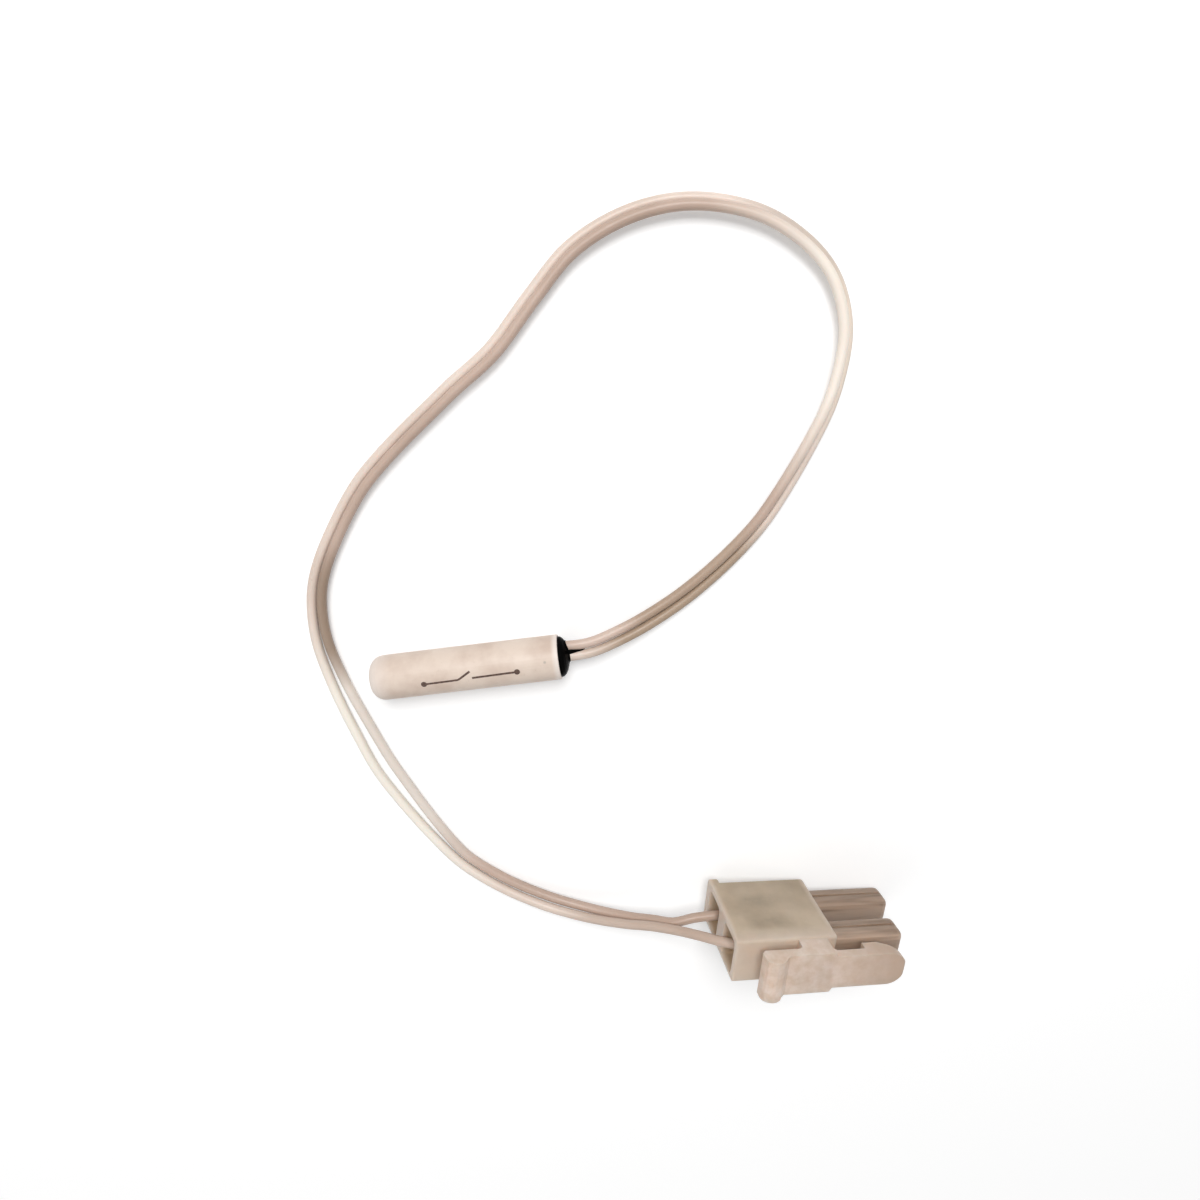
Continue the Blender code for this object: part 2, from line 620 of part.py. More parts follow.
def build_plug(plug):
    """Model the two-way plug: body, silos, finger lip and latch lever in one moulding."""
    half_t, half_w = PLUG_THICKNESS / 2, PLUG_WIDTH / 2
    housing = box("plug_housing", (-PLUG_FRONT, -half_t, -half_w), (PLUG_FRONT, half_t, half_w),
                  PLUG_EDGE, "nylon", plug)
    lip_side = half_t - LIP_INSET
    lip = box("lip_tool", (-PLUG_FRONT - LIP_INSET, -lip_side, -half_w - LIP_HEIGHT),
              (-PLUG_FRONT + LIP_LENGTH, lip_side, -half_w + LIP_HEIGHT), PLUG_EDGE, parent=plug)
    combine(housing, lip, "UNION")
    upright = (math.pi / 2, 0.0, 0.0)
    lever = prism("lever_tool", lever_profile(), LEVER_REAR_WIDTH, parent=plug, turn=upright)
    level = PLUG_WIDTH / 2 + LEVER_GAP
    plan = prism("lever_plan_tool", lever_plan(), PLUG_WIDTH, parent=plug, at=(0.0, 0.0, level))
    combine(lever, plan, "INTERSECT")
    combine(housing, lever, "UNION")
    low, high = SILO_SHIFT - SILO_THICKNESS / 2, SILO_SHIFT + SILO_THICKNESS / 2
    cuts = []
    for label, z, tip in (("near", CIRCUIT_PITCH / 2, NEAR_SILO_TIP), ("far", -CIRCUIT_PITCH / 2, FAR_SILO_TIP)):
        silo = box(f"{label}_silo_tool", (CAVITY_FLOOR + FRONT_WALL / 4, low, z - SILO_WIDTH / 2),
                   (tip, high, z + SILO_WIDTH / 2), SILO_EDGE, parent=plug, steps=3)
        combine(housing, silo, "UNION")
        cuts.append(box(f"{label}_groove_tool", (PLUG_FRONT + FIT_GAP, high - GROOVE_DEPTH, z - GROOVE_WIDTH / 2),
                        (tip + MM, high + MM, z + GROOVE_WIDTH / 2), parent=plug))
        cuts.append(box(f"{label}_cavity_tool", (-PLUG_FRONT - 2 * MM, -CAVITY_THICKNESS / 2, z - CAVITY_WIDTH / 2),
                        (CAVITY_FLOOR, CAVITY_THICKNESS / 2, z + CAVITY_WIDTH / 2), CAVITY_EDGE, parent=plug))
        cuts.append(rod(f"{label}_bore_tool", (CAVITY_FLOOR - MM, 0.0, z), (tip + MM, 0.0, z),
                        SILO_BORE, parent=plug))
    for cut in cuts:
        combine(housing, cut, "DIFFERENCE")
    return housing


def crimp_outline(inner, wall):
    """Return an open ring: a crimped barrel seen along the wire."""
    start = math.pi / 2 + CRIMP_OPENING / 2
    sweep = math.tau - CRIMP_OPENING
    steps = 20
    angles = [start + sweep * i / steps for i in range(steps + 1)]
    outer = [((inner + wall) * math.cos(a), (inner + wall) * math.sin(a)) for a in angles]
    return outer + [(inner * math.cos(a), inner * math.sin(a)) for a in reversed(angles)]


def build_contact(name, plug, z):
    """Model a stamped socket contact: barrel, collar, strip and two crimps."""
    front = (NEAR_SILO_TIP if z > 0 else FAR_SILO_TIP) - SOCKET_RECESS
    neck = SOCKET_RADIUS * 0.7
    profile = [
        (COLLAR_BACK - MM / 2, 0.0), (COLLAR_BACK - MM / 2, neck), (COLLAR_BACK, neck),
        (COLLAR_BACK, COLLAR_RADIUS), (COLLAR_FRONT, COLLAR_RADIUS), (COLLAR_FRONT, SOCKET_RADIUS),
        (front - 0.2 * MM, SOCKET_RADIUS), (front, SOCKET_RADIUS - 0.12 * MM), (front, SOCKET_BORE),
        (COLLAR_FRONT + MM, SOCKET_BORE), (COLLAR_FRONT + MM, 0.0),
    ]
    contact = lathe(name, profile, "contact", z=z, segments=BORE_SEGMENTS)
    contact.parent = plug
    grip_inner = WIRE_RADIUS + CRIMP_CLEARANCE
    crimp_inner = CONDUCTOR_RADIUS + CRIMP_CLEARANCE
    along = (math.pi / 2, 0.0, math.pi / 2)
    grip_x, crimp_x = (GRIP_BACK + GRIP_FRONT) / 2, (CRIMP_BACK + CRIMP_FRONT) / 2
    tools = [
        prism(f"{name}_grip_tool", crimp_outline(grip_inner, CRIMP_WALL), GRIP_LENGTH / 2,
              parent=plug, turn=along, at=(grip_x, 0.0, z)),
        prism(f"{name}_crimp_tool", crimp_outline(crimp_inner, CRIMP_WALL), CRIMP_LENGTH / 2,
              parent=plug, turn=along, at=(crimp_x, 0.0, z)),
    ]
    low, high = -grip_inner - CRIMP_WALL, -grip_inner
    low2, high2 = -crimp_inner - CRIMP_WALL, -crimp_inner
    inset = 0.02 * MM
    strip = [
        (GRIP_FRONT - GRIP_LENGTH / 2, low + inset), (JACKET_END, low + inset),
        (CRIMP_BACK + inset, low2 + inset), (COLLAR_BACK - inset, low2 + inset),
        (COLLAR_BACK - inset, high2 - inset), (CRIMP_BACK + inset, high2 - inset),
        (JACKET_END, high - inset), (GRIP_FRONT - GRIP_LENGTH / 2, high - inset),
    ]
    tools.append(prism(f"{name}_strip_tool", strip, STRIP_WIDTH / 2, parent=plug,
                       turn=(math.pi / 2, 0.0, 0.0), at=(0.0, 0.0, z)))
    for tool in tools:
        combine(contact, tool, "UNION")
    return contact


def build_all():
    """Build the sensor, the wires and the plug."""
    build_housing()
    build_potting()
    build_glass()
    build_reed("reed_blade_near", 1)
    build_reed("reed_blade_far", -1)
    build_sensor_conductors()

    plug = bpy.data.objects.new("plug_frame", None)
    COLLECTIONS["parts"].objects.link(plug)
    plug.location = PLUG_PLACE
    plug.rotation_euler = PLUG_LEAN
    frame = Matrix.Translation(PLUG_PLACE) @ Euler(PLUG_LEAN).to_matrix().to_4x4()
    build_plug(plug)
    for label, side in (("a", 1), ("b", -1)):
        points = smooth_curve(wire_controls(side, frame), WIRE_STEP)
        tube(f"wire_{label}", points, WIRE_RADIUS, "jacket")
        z = -side * CIRCUIT_PITCH / 2
        build_contact(f"contact_{label}", plug, z)
        rod(f"conductor_plug_{label}", (JACKET_END, 0.0, z),
            (CRIMP_FRONT + CONDUCTOR_RADIUS, 0.0, z), CONDUCTOR_RADIUS, "conductor", plug, 12)


build_all()
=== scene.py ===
"""Looks of a magnetic reed switch: moulded sensor, black resin, two loose wires and a latching plug.

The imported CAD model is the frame. The sensor lies along X on the floor at Z = 0, with its closed end
at -X. Shapes are in metres in that frame. The finishes give their places and depths in millimetres.
"""

from __future__ import annotations

import json
import logging
import math
from dataclasses import dataclass
from enum import Enum
from typing import Sequence, Union

import bmesh
import bpy
from mathutils import Euler, Matrix, Vector

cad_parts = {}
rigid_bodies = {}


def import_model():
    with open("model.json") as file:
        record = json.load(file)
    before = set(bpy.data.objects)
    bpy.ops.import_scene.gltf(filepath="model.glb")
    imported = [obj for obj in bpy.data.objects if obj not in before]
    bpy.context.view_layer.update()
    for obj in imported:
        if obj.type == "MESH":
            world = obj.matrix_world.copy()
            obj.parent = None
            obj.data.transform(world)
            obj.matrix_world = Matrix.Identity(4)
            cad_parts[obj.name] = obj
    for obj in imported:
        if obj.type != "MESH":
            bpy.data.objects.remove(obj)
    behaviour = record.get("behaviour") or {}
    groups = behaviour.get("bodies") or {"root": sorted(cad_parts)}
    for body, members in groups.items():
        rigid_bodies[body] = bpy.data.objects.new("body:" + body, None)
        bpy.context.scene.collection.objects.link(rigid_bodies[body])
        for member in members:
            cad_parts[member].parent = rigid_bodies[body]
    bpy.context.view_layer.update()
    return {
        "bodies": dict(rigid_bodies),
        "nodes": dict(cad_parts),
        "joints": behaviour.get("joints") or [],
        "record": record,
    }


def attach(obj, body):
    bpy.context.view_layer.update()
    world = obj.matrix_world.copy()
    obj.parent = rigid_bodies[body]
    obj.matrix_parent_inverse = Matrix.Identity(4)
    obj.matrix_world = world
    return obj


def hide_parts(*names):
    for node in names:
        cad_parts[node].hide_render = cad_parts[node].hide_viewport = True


Colour = tuple[float, float, float]
Place = tuple[float, float, float]

LOG = logging.getLogger("reed_switch")
MM = 0.001
WHITE: Colour = (1.0, 1.0, 1.0)

# The body that every piece of the scene rides on
ROOT = "root"

# What several pieces share: the sensor's axis, the wires and how the plug lies, in metres and degrees
AXIS_Z = 0.00291375
WIRE_RADIUS = 0.00065
WIRE_SPACING = 0.0015
PAIR_Y = 0.00065
PLUG_PLACE: Place = (0.03409, -0.04014, 0.00792)
PLUG_LEAN = (2.9, 9.9, -11.1)


class Slot(Enum):
    """Material slots of the record, by name."""

    RESIN = "potting_resin"
    JACKET = "wire_jacket"


class Finish(Enum):
    """Finishes, by the names of their materials."""

    SHELL = "moulded_shell"
    RESIN = "black_resin"
    GLASS = "capsule_glass"
    NYLON = "milky_nylon"
    TIN = "tin_plate"
    REED = "reed_alloy"
    STRAND = "tinned_strand"
    SOLDER = "solder"
    INK = "print_ink"
    JACKET_A = "wire_jacket_a"
    JACKET_B = "wire_jacket_b"
    FLOOR = "pale_floor"


class Socket:
    """A shader value that Python's operators work on."""

    def __init__(self, graph: Graph, socket: bpy.types.NodeSocket) -> None:
        """Keep an output socket and the graph that gets its new nodes."""
        self.graph = graph
        self.socket = socket

    def _math(self, operation: str, first: Value, second: Value) -> Socket:
        """Return the result of a Math node."""
        made = self.graph.add("ShaderNodeMath", {"operation": operation}, {0: first, 1: second})
        return made.out(0)

    def __add__(self, other: Value) -> Socket:
        """Return self + other."""
        return self._math("ADD", self, other)

    def __radd__(self, other: Value) -> Socket:
        """Return other + self."""
        return self._math("ADD", other, self)

    def __sub__(self, other: Value) -> Socket:
        """Return self - other."""
        return self._math("SUBTRACT", self, other)

    def __rsub__(self, other: Value) -> Socket:
        """Return other - self."""
        return self._math("SUBTRACT", other, self)

    def __mul__(self, other: Value) -> Socket:
        """Return self * other."""
        return self._math("MULTIPLY", self, other)

    def __rmul__(self, other: Value) -> Socket:
        """Return other * self."""
        return self._math("MULTIPLY", other, self)

    def __abs__(self) -> Socket:
        """Return self without its sign."""
        return self._math("ABSOLUTE", self, 0.0)

    def larger(self, other: Value) -> Socket:
        """Return the larger of self and other."""
        return self._math("MAXIMUM", self, other)


Value = Union[Socket, float, Sequence[float]]


@dataclass
class Node:
    """A shader node with its outputs as Socket values."""

    graph: Graph
    node: bpy.types.ShaderNode

    def out(self, name: str | int) -> Socket:
        """Return the named or numbered output."""
        return Socket(self.graph, self.node.outputs[name])


class Graph:
    """The node tree of one material or world."""

    def __init__(self, tree: bpy.types.NodeTree) -> None:
        """Keep the node tree, emptied."""
        self.tree = tree
        tree.nodes.clear()

    def add(self, kind: str, settings: dict | None = None, inputs: dict | None = None) -> Node:
        """Add a node, set it up, and set or link its inputs.

        Args:
            kind: The node's type, such as ShaderNodeTexNoise.
            settings: Attributes of the node, which are set first.
            inputs: Input names or numbers with their values or links.

        Returns:
            The new node.
        """
        node = self.tree.nodes.new(kind)
        for name, value in (settings or {}).items():
            setattr(node, name, value)
        for name, value in (inputs or {}).items():
            self._feed(node.inputs[name], value)
        return Node(self, node)

    def _feed(self, target: bpy.types.NodeSocket, value: Value) -> None:
        """Link or set one input.

        Args:
            target: The input socket.
            value: A socket to link, or a constant to set.
        """
        if isinstance(value, Socket):
            self.tree.links.new(value.socket, target)
        elif isinstance(value, (int, float)):
            target.default_value = value
        elif len(value) == 3 and len(target.default_value) == 4:
            target.default_value = (*value, 1.0)
        else:
            target.default_value = value

    def vector_math(self, operation: str, result: str, inputs: dict) -> Socket:
        """Return the Vector or the Value that a Vector Math node gives."""
        return self.add("ShaderNodeVectorMath", {"operation": operation}, inputs).out(result)

    def millimetres(self) -> Socket:
        """Return the place on the part as a vector in millimetres."""
        place = self.add("ShaderNodeTexCoord").out("Object")
        return self.vector_math("SCALE", "Vector", {0: place, "Scale": 1.0 / MM})

    def in_frame(self, place: Socket, frame: Matrix) -> list[Socket]:
        """Measure a place along the three axes of a frame.

        Args:
            place: The coordinates in millimetres.
            frame: The frame, in metres.

        Returns:
            The X, Y and Z in that frame, in millimetres.
        """
        origin = tuple(frame.translation / MM)
        offset = self.vector_math("SUBTRACT", "Vector", {0: place, 1: origin})
        axes = [tuple(frame.col[column][:3]) for column in range(3)]
        return [self.vector_math("DOT_PRODUCT", "Value", {0: offset, 1: axis}) for axis in axes]

    def blend(self, share: Socket, first: Value, second: Value) -> Socket:
        """Return a mix of two colours, where share tells how much of the second shows."""
        settings = {"data_type": "RGBA", "clamp_factor": True}
        return self.add("ShaderNodeMix", settings, {0: share, 6: first, 7: second}).out(2)

    def background_rays(self) -> Socket:
        """Tell the rays that show the background from those that light the part.

        Returns:
            1 for camera, glossy and transmission rays, and 0 for the others.
        """
        path = self.add("ShaderNodeLightPath")
        shown = path.out("Is Camera Ray").larger(path.out("Is Glossy Ray"))
        return shown.larger(path.out("Is Transmission Ray"))

    def mix_shaders(self, share: Socket, first: Node, second: Node) -> Node:
        """Return a mix of two shaders, where share tells how much of the second shows."""
        return self.add("ShaderNodeMixShader", None, {0: share, 1: first.out(0), 2: second.out(0)})

    def principled(self, **inputs: Value) -> None:
        """End the material in a Principled shader.

        Args:
            **inputs: Socket names with underscores for spaces, and their values.
        """
        named = {name.replace("_", " "): value for name, value in inputs.items()}
        shader = self.add("ShaderNodeBsdfPrincipled", None, named)
        self.add("ShaderNodeOutputMaterial", None, {"Surface": shader.out("BSDF")})


@dataclass(frozen=True)
class Noise:
    """Soft noise: blotches in a millimetre, octaves of finer noise and the strength of those."""

    per_mm: float
    detail: float = 3.0
    rough: float = 0.55

    def over(self, place: Socket) -> Socket:
        """Return the noise at a place in millimetres, about 0.5 on average."""
        inputs = {"Vector": place, "Scale": self.per_mm, "Detail": self.detail, "Roughness": self.rough}
        return place.graph.add("ShaderNodeTexNoise", None, inputs).out("Fac")


@dataclass(frozen=True)
class Ramp:
    """An even change of a level, from to_low at one value, low, to to_high at another, high."""

    low: float
    high: float
    to_low: float = 0.0
    to_high: float = 1.0

    def over(self, value: Socket) -> Socket:
        """Return the level for a value, held at its ends outside the ramp."""
        ends = {"From Min": self.low, "From Max": self.high, "To Min": self.to_low, "To Max": self.to_high}
        return value.graph.add("ShaderNodeMapRange", {"clamp": True}, {"Value": value, **ends}).out("Result")


@dataclass(frozen=True)
class Swing:
    """A level that swings about its middle with a noise."""

    middle: float
    width: float

    def over(self, noise: Socket) -> Socket:
        """Return the level for a noise."""
        return self.middle + (noise - 0.5) * self.width


@dataclass(frozen=True)
class Relief:
    """Fine relief in a surface: its depth in millimetres and how much of it shows."""

    depth: float
    strength: float

    def over(self, noise: Socket) -> Socket:
        """Return the normals of the relief that a noise gives."""
        inputs = {"Height": noise, "Distance": self.depth * MM, "Strength": self.strength}
        return noise.graph.add("ShaderNodeBump", None, inputs).out("Normal")


@dataclass(frozen=True)
class Scatter:
    """Light under the surface: its share, and how far red, green and blue go in millimetres."""

    share: float
    reach: tuple[float, float, float]

    def inputs(self) -> dict[str, Value]:
        """Return the Principled shader's inputs for it."""
        radius = tuple(length * MM for length in self.reach)
        return {"Subsurface_Weight": self.share, "Subsurface_Radius": radius, "Subsurface_Scale": 1.0}


@dataclass(frozen=True)
class Patch:
    """A soft round patch of another colour, full up to near and gone at far from its place."""

    place: Place
    near: float
    far: float
    colour: Colour
    share: float

    def lay(self, place: Socket, colour: Socket) -> Socket:
        """Lay the patch over a colour.

        Args:
            place: The coordinates in millimetres.
            colour: The colour that it covers.

        Returns:
            The colour with the patch.
        """
        away = place.graph.vector_math("DISTANCE", "Value", {0: place, 1: self.place})
        share = Ramp(self.near, self.far, self.share, 0.0).over(away)
        return place.graph.blend(share, colour, self.colour)


@dataclass(frozen=True)
class Look:
    """One finish, made into a material of its name."""

    finish: Finish

    def build(self) -> bpy.types.Material:
        """Make the material.

        Returns:
            The material, with its nodes.
        """
        material = bpy.data.materials.new(self.finish.value)
        material.use_nodes = True
        self.paint(Graph(material.node_tree))
        return material

    def paint(self, graph: Graph) -> None:
        """Fill the material's empty graph."""
        raise NotImplementedError


@dataclass(frozen=True)
class MouldedShell(Look):
    """Off-white moulded plastic of the sensor, handled and mottled, with painted highlights that lighten it
    at both ends along X.
    """

    finish: Finish = Finish.SHELL
    light: Colour = (0.77, 0.645, 0.55)
    shade: Colour = (0.64, 0.505, 0.42)
    cloud: Noise = Noise(0.22, 4.0)
    cloud_share: Ramp = Ramp(0.38, 0.66)
    smudge: Colour = (0.54, 0.41, 0.34)
    specks: Noise = Noise(1.7, 5.0, 0.7)
    speck_share: Ramp = Ramp(0.62, 0.74, 0.0, 0.40)
    # Painted highlight: the lighter colour laid at the tube's mouth rim and at its closed end
    rim_highlight: Colour = (0.88, 0.80, 0.74)
    mouth_highlight: Ramp = Ramp(10.1, 10.6, 0.0, 0.7)
    closed_end_highlight: Ramp = Ramp(-10.5, -13.0, 0.0, 0.7)
    nick: Patch = Patch((9.23, 0.44, 5.80), 0.08, 0.24, (0.30, 0.28, 0.25), 0.5)
    roughness: Swing = Swing(0.42, 0.18)
    grain: Noise = Noise(6.0, 2.0)
    relief: Relief = Relief(0.012, 0.6)
    specular: float = 0.35

    def paint(self, graph: Graph) -> None:
        """Fill the material's graph.

        Args:
            graph: The empty graph.
        """
        place = graph.millimetres()
        cloud = self.cloud.over(place)
        specks = self.specks.over(place)
        along = graph.add("ShaderNodeSeparateXYZ", None, {0: place}).out("X")
        colour = graph.blend(self.cloud_share.over(cloud), self.light, self.shade)
        colour = graph.blend(self.speck_share.over(specks), colour, self.smudge)
        # Painted highlights lighten the tube at the mouth's rim and at the closed end
        colour = graph.blend(self.mouth_highlight.over(along), colour, self.rim_highlight)
        colour = graph.blend(self.closed_end_highlight.over(along), colour, self.rim_highlight)
        graph.principled(
            Base_Color=self.nick.lay(place, colour),
            Roughness=self.roughness.over(cloud),
            Normal=self.relief.over(self.grain.over(place)),
            Specular_IOR_Level=self.specular,
        )


@dataclass(frozen=True)
class BlackResin(Look):
    """Glossy black potting resin with a slightly uneven, dusty skin."""

    finish: Finish = Finish.RESIN
    colour: Colour = (0.002, 0.002, 0.002)
    dusty: Colour = (0.007, 0.0065, 0.006)
    dust: Noise = Noise(5.0, 4.0, 0.7)
    dust_share: Ramp = Ramp(0.6, 0.8, 0.0, 0.6)
    roughness: Ramp = Ramp(0.4, 0.8, 0.20, 0.45)
    skin: Noise = Noise(1.1)
    relief: Relief = Relief(0.08, 0.5)
    ior: float = 1.3
    specular: float = 0.025

    def paint(self, graph: Graph) -> None:
        """Fill the material's graph.

        Args:
            graph: The empty graph.
        """
        place = graph.millimetres()
        dust = self.dust.over(place)
        graph.principled(
            Base_Color=graph.blend(self.dust_share.over(dust), self.colour, self.dusty),
            Roughness=self.roughness.over(dust),
            Normal=self.relief.over(self.skin.over(place)),
            IOR=self.ior,
            Specular_IOR_Level=self.specular,
        )


@dataclass(frozen=True)
class WireJacket(Look):
    """Soft off-white insulation, a little dirty and scuffed, with patches of painted light and painted shade
    along it.
    """

    light: Colour
    shade: Colour
    painted_light_and_shade: tuple[Patch, ...]
    drift: Noise = Noise(0.06)
    drift_share: Ramp = Ramp(0.36, 0.66)
    dirt: Colour = (0.36, 0.26, 0.20)
    scuffs: Noise = Noise(0.9, 5.0, 0.7)
    scuff_share: Ramp = Ramp(0.62, 0.78, 0.0, 0.4)
    roughness: Swing = Swing(0.40, 0.3)
    grain: Noise = Noise(7.0, 2.0)
    relief: Relief = Relief(0.01, 0.6)
    scatter: Scatter = Scatter(0.15, (0.9, 0.6, 0.45))
    specular: float = 0.45

    def paint(self, graph: Graph) -> None:
        """Fill the material's graph.

        Args:
            graph: The empty graph.
        """
        place = graph.millimetres()
        drift = self.drift.over(place)
        scuffs = self.scuffs.over(place)
        colour = graph.blend(self.drift_share.over(drift), self.light, self.shade)
        colour = graph.blend(self.scuff_share.over(scuffs), colour, self.dirt)
        # Lay the patches of painted light and painted shade
        for patch in self.painted_light_and_shade:
            colour = patch.lay(place, colour)
        graph.principled(
            Base_Color=colour,
            Roughness=self.roughness.over(scuffs),
            Normal=self.relief.over(self.grain.over(place)),
            Specular_IOR_Level=self.specular,
            **self.scatter.inputs(),
        )


@dataclass(frozen=True)
class MilkyNylon(Look):
    """Natural translucent nylon of the plug, milky, with painted shade and painted highlights on it.

    Places are in millimetres in the plug's own frame, X to the nose and Z to the latch. The body ends
    at front and at -front along X and at top along Z. Painted shade darkens it towards its lower side,
    and two bands of painted shade, each band_apart from band_middle, stand for the contacts behind its
    walls; its edges get painted highlights. Above top lies the thin latch lever, and ahead of front the
    silos.
    """

    finish: Finish = Finish.NYLON
    front: float = 6.83
    top: float = 5.88

    light: Colour = (0.72, 0.585, 0.435)
    shade: Colour = (0.55, 0.435, 0.305)
    flow: Noise = Noise(0.20, 4.0)
    flow_share: Ramp = Ramp(0.35, 0.65)

    # Painted shade: laid towards the body's lower side and as two bands over the contacts behind its walls
    painted_shade: Colour = (0.37, 0.295, 0.20)
    shade_down: Ramp = Ramp(-5.5, 4.0, 0.32, 0.0)
    shade_along: Ramp = Ramp(-6.5, -4.5)
    band_middle: float = 0.4
    band_apart: float = 2.1
    band_across: Ramp = Ramp(0.4, 1.7, 1.0, 0.0)
    band_rear: Ramp = Ramp(-4.6, -3.0)
    band_front: Ramp = Ramp(0.5, 2.8, 1.0, 0.0)
    blotches: Noise = Noise(0.55, 4.0, 0.6)
    blotch_share: Ramp = Ramp(0.38, 0.62, 0.45, 1.0)
    contact_shade_share: float = 0.60
    # Painted highlights along the body's front, rear and top edges
    front_highlight: Ramp = Ramp(-0.9, -0.2)
    rear_highlight: Ramp = Ramp(0.7, 0.1, 0.0, 1.25)
    top_highlight: Ramp = Ramp(-2.4, -0.2)
    highlight_share: float = 0.55

    # Lever colours: lighter than the body, partly as thin nylon and partly as painted light on its upward
    # faces; the first also paints the edge highlights
    thin_light_and_highlight: Colour = (0.90, 0.755, 0.66)
    thin_shade: Colour = (0.76, 0.60, 0.475)
    nose: Colour = (0.57, 0.425, 0.32)
    cloud: Noise = Noise(0.7, 4.0, 0.6)
    cloud_share: Ramp = Ramp(0.36, 0.66)
    nose_share: Ramp = Ramp(4.0, 15.0, 0.0, 0.9)
    lever_above: Ramp = Ramp(-0.1, 0.5)

    silo_light: Colour = (0.61, 0.455, 0.345)
    silo_shade: Colour = (0.31, 0.21, 0.145)
    streaks_per_mm: tuple[float, float, float] = (0.10, 1.1, 1.1)
    streaks: Noise = Noise(1.0, 2.0)
    streak_share: Ramp = Ramp(0.34, 0.68)
    silo_shade_down: Ramp = Ramp(1.0, -2.0, 0.0, 0.55)
    silo_ahead: Ramp = Ramp(0.02, 0.2)
    silo_below: Ramp = Ramp(0.0, 0.4, 1.0, 0.0)

    roughness: Swing = Swing(0.42, 0.2)
    grain: Noise = Noise(4.0)
    relief: Relief = Relief(0.012, 0.6)
    through: float = 0.35
    ior: float = 1.53
    scatter: Scatter = Scatter(0.45, (2.0, 1.5, 1.2))

    def walls(self, place: Socket, flow: Socket, x: Socket, z: Socket) -> Socket:
        """Colour the plug's body, with painted shade low down and over the contacts behind its walls, and
        painted highlights on its edges.

        Args:
            place: The coordinates in millimetres.
            flow: Broad noise.
            x: The place along the plug.
            z: The place across the circuits.

        Returns:
            The colour.
        """
        graph = place.graph
        colour = graph.blend(self.flow_share.over(flow), self.light, self.shade)
        # Painted shade, darker towards the body's lower side
        lower_shade = self.shade_down.over(z) * self.shade_along.over(x)
        colour = graph.blend(lower_shade, colour, self.painted_shade)
        # Two bands of painted shade where the contacts lie behind the walls
        off = abs(abs(z - self.band_middle) - self.band_apart)
        contact_shade = self.band_across.over(off) * self.band_rear.over(x) * self.band_front.over(x)
        contact_shade = contact_shade * self.blotch_share.over(self.blotches.over(place))
        colour = graph.blend(contact_shade * self.contact_shade_share, colour, self.painted_shade)
        # Painted highlights lighten the body's edges, in the lever's light colour
        highlight = self.front_highlight.over(x - self.front).larger(self.rear_highlight.over(x + self.front))
        highlight = highlight.larger(self.top_highlight.over(z - self.top))
        return graph.blend(highlight * self.highlight_share, colour, self.thin_light_and_highlight)

    def lever(self, place: Socket, x: Socket) -> Socket:
        """Colour the thin latch lever, lighter than the body partly as painted light, and darker towards the
        nose.

        Args:
            place: The coordinates in millimetres.
            x: The place along the plug.

        Returns:
            The colour.
        """
        graph = place.graph
        cloud = self.cloud_share.over(self.cloud.over(place))
        colour = graph.blend(cloud, self.thin_light_and_highlight, self.thin_shade)
        return graph.blend(self.nose_share.over(x), colour, self.nose)

    def silos(self, graph: Graph, along: Sequence[Socket]) -> Socket:
        """Colour the silos, streaked along the plug, with painted shade on their lower sides.

        Args:
            graph: The material's graph.
            along: The X, Y and Z in the plug's frame.

        Returns:
            The colour.
        """
        squeezed = {i: along[i] * self.streaks_per_mm[i] for i in range(3)}
        streaks = self.streaks.over(graph.add("ShaderNodeCombineXYZ", None, squeezed).out("Vector"))
        # Painted shade darkens the silos on their lower side, over the streaks
        streaks_and_shade = self.streak_share.over(streaks).larger(self.silo_shade_down.over(along[2]))
        return graph.blend(streaks_and_shade, self.silo_light, self.silo_shade)

    def paint(self, graph: Graph) -> None:
        """Fill the material's graph.

        Args:
            graph: The empty graph.
        """
        place = graph.millimetres()
        x, y, z = graph.in_frame(place, plug_frame())
        flow = self.flow.over(place)
        colour = self.walls(place, flow, x, z)
        # Above the body's top the lever's lighter colour shows, partly thin nylon and partly painted light
        colour = graph.blend(self.lever_above.over(z - self.top), colour, self.lever(place, x))
        silo = self.silo_ahead.over(x - self.front) * self.silo_below.over(z - self.top)
        graph.principled(
            Base_Color=graph.blend(silo, colour, self.silos(graph, (x, y, z))),
            Roughness=self.roughness.over(flow),
            Normal=self.relief.over(self.grain.over(place)),
            Transmission_Weight=self.through,
            IOR=self.ior,
            **self.scatter.inputs(),
        )


@dataclass(frozen=True)
class BrightMetal(Look):
    """Plated or bare metal: contacts, reeds, strands and solder."""

    colour: Colour
    dull: Colour
    roughness: Swing
    grain: Noise = Noise(3.0)
    cloud: Noise = Noise(0.8)
    cloud_share: Ramp = Ramp(0.4, 0.7)
    relief: Relief = Relief(0.01, 0.5)

    def paint(self, graph: Graph) -> None:
        """Fill the material's graph.

        Args:
            graph: The empty graph.
        """
        place = graph.millimetres()
        cloud = self.cloud_share.over(self.cloud.over(place))
        grain = self.grain.over(place)
        graph.principled(
            Base_Color=graph.blend(cloud, self.colour, self.dull),
            Metallic=1.0,
            Roughness=self.roughness.over(grain),
            Normal=self.relief.over(grain),
        )


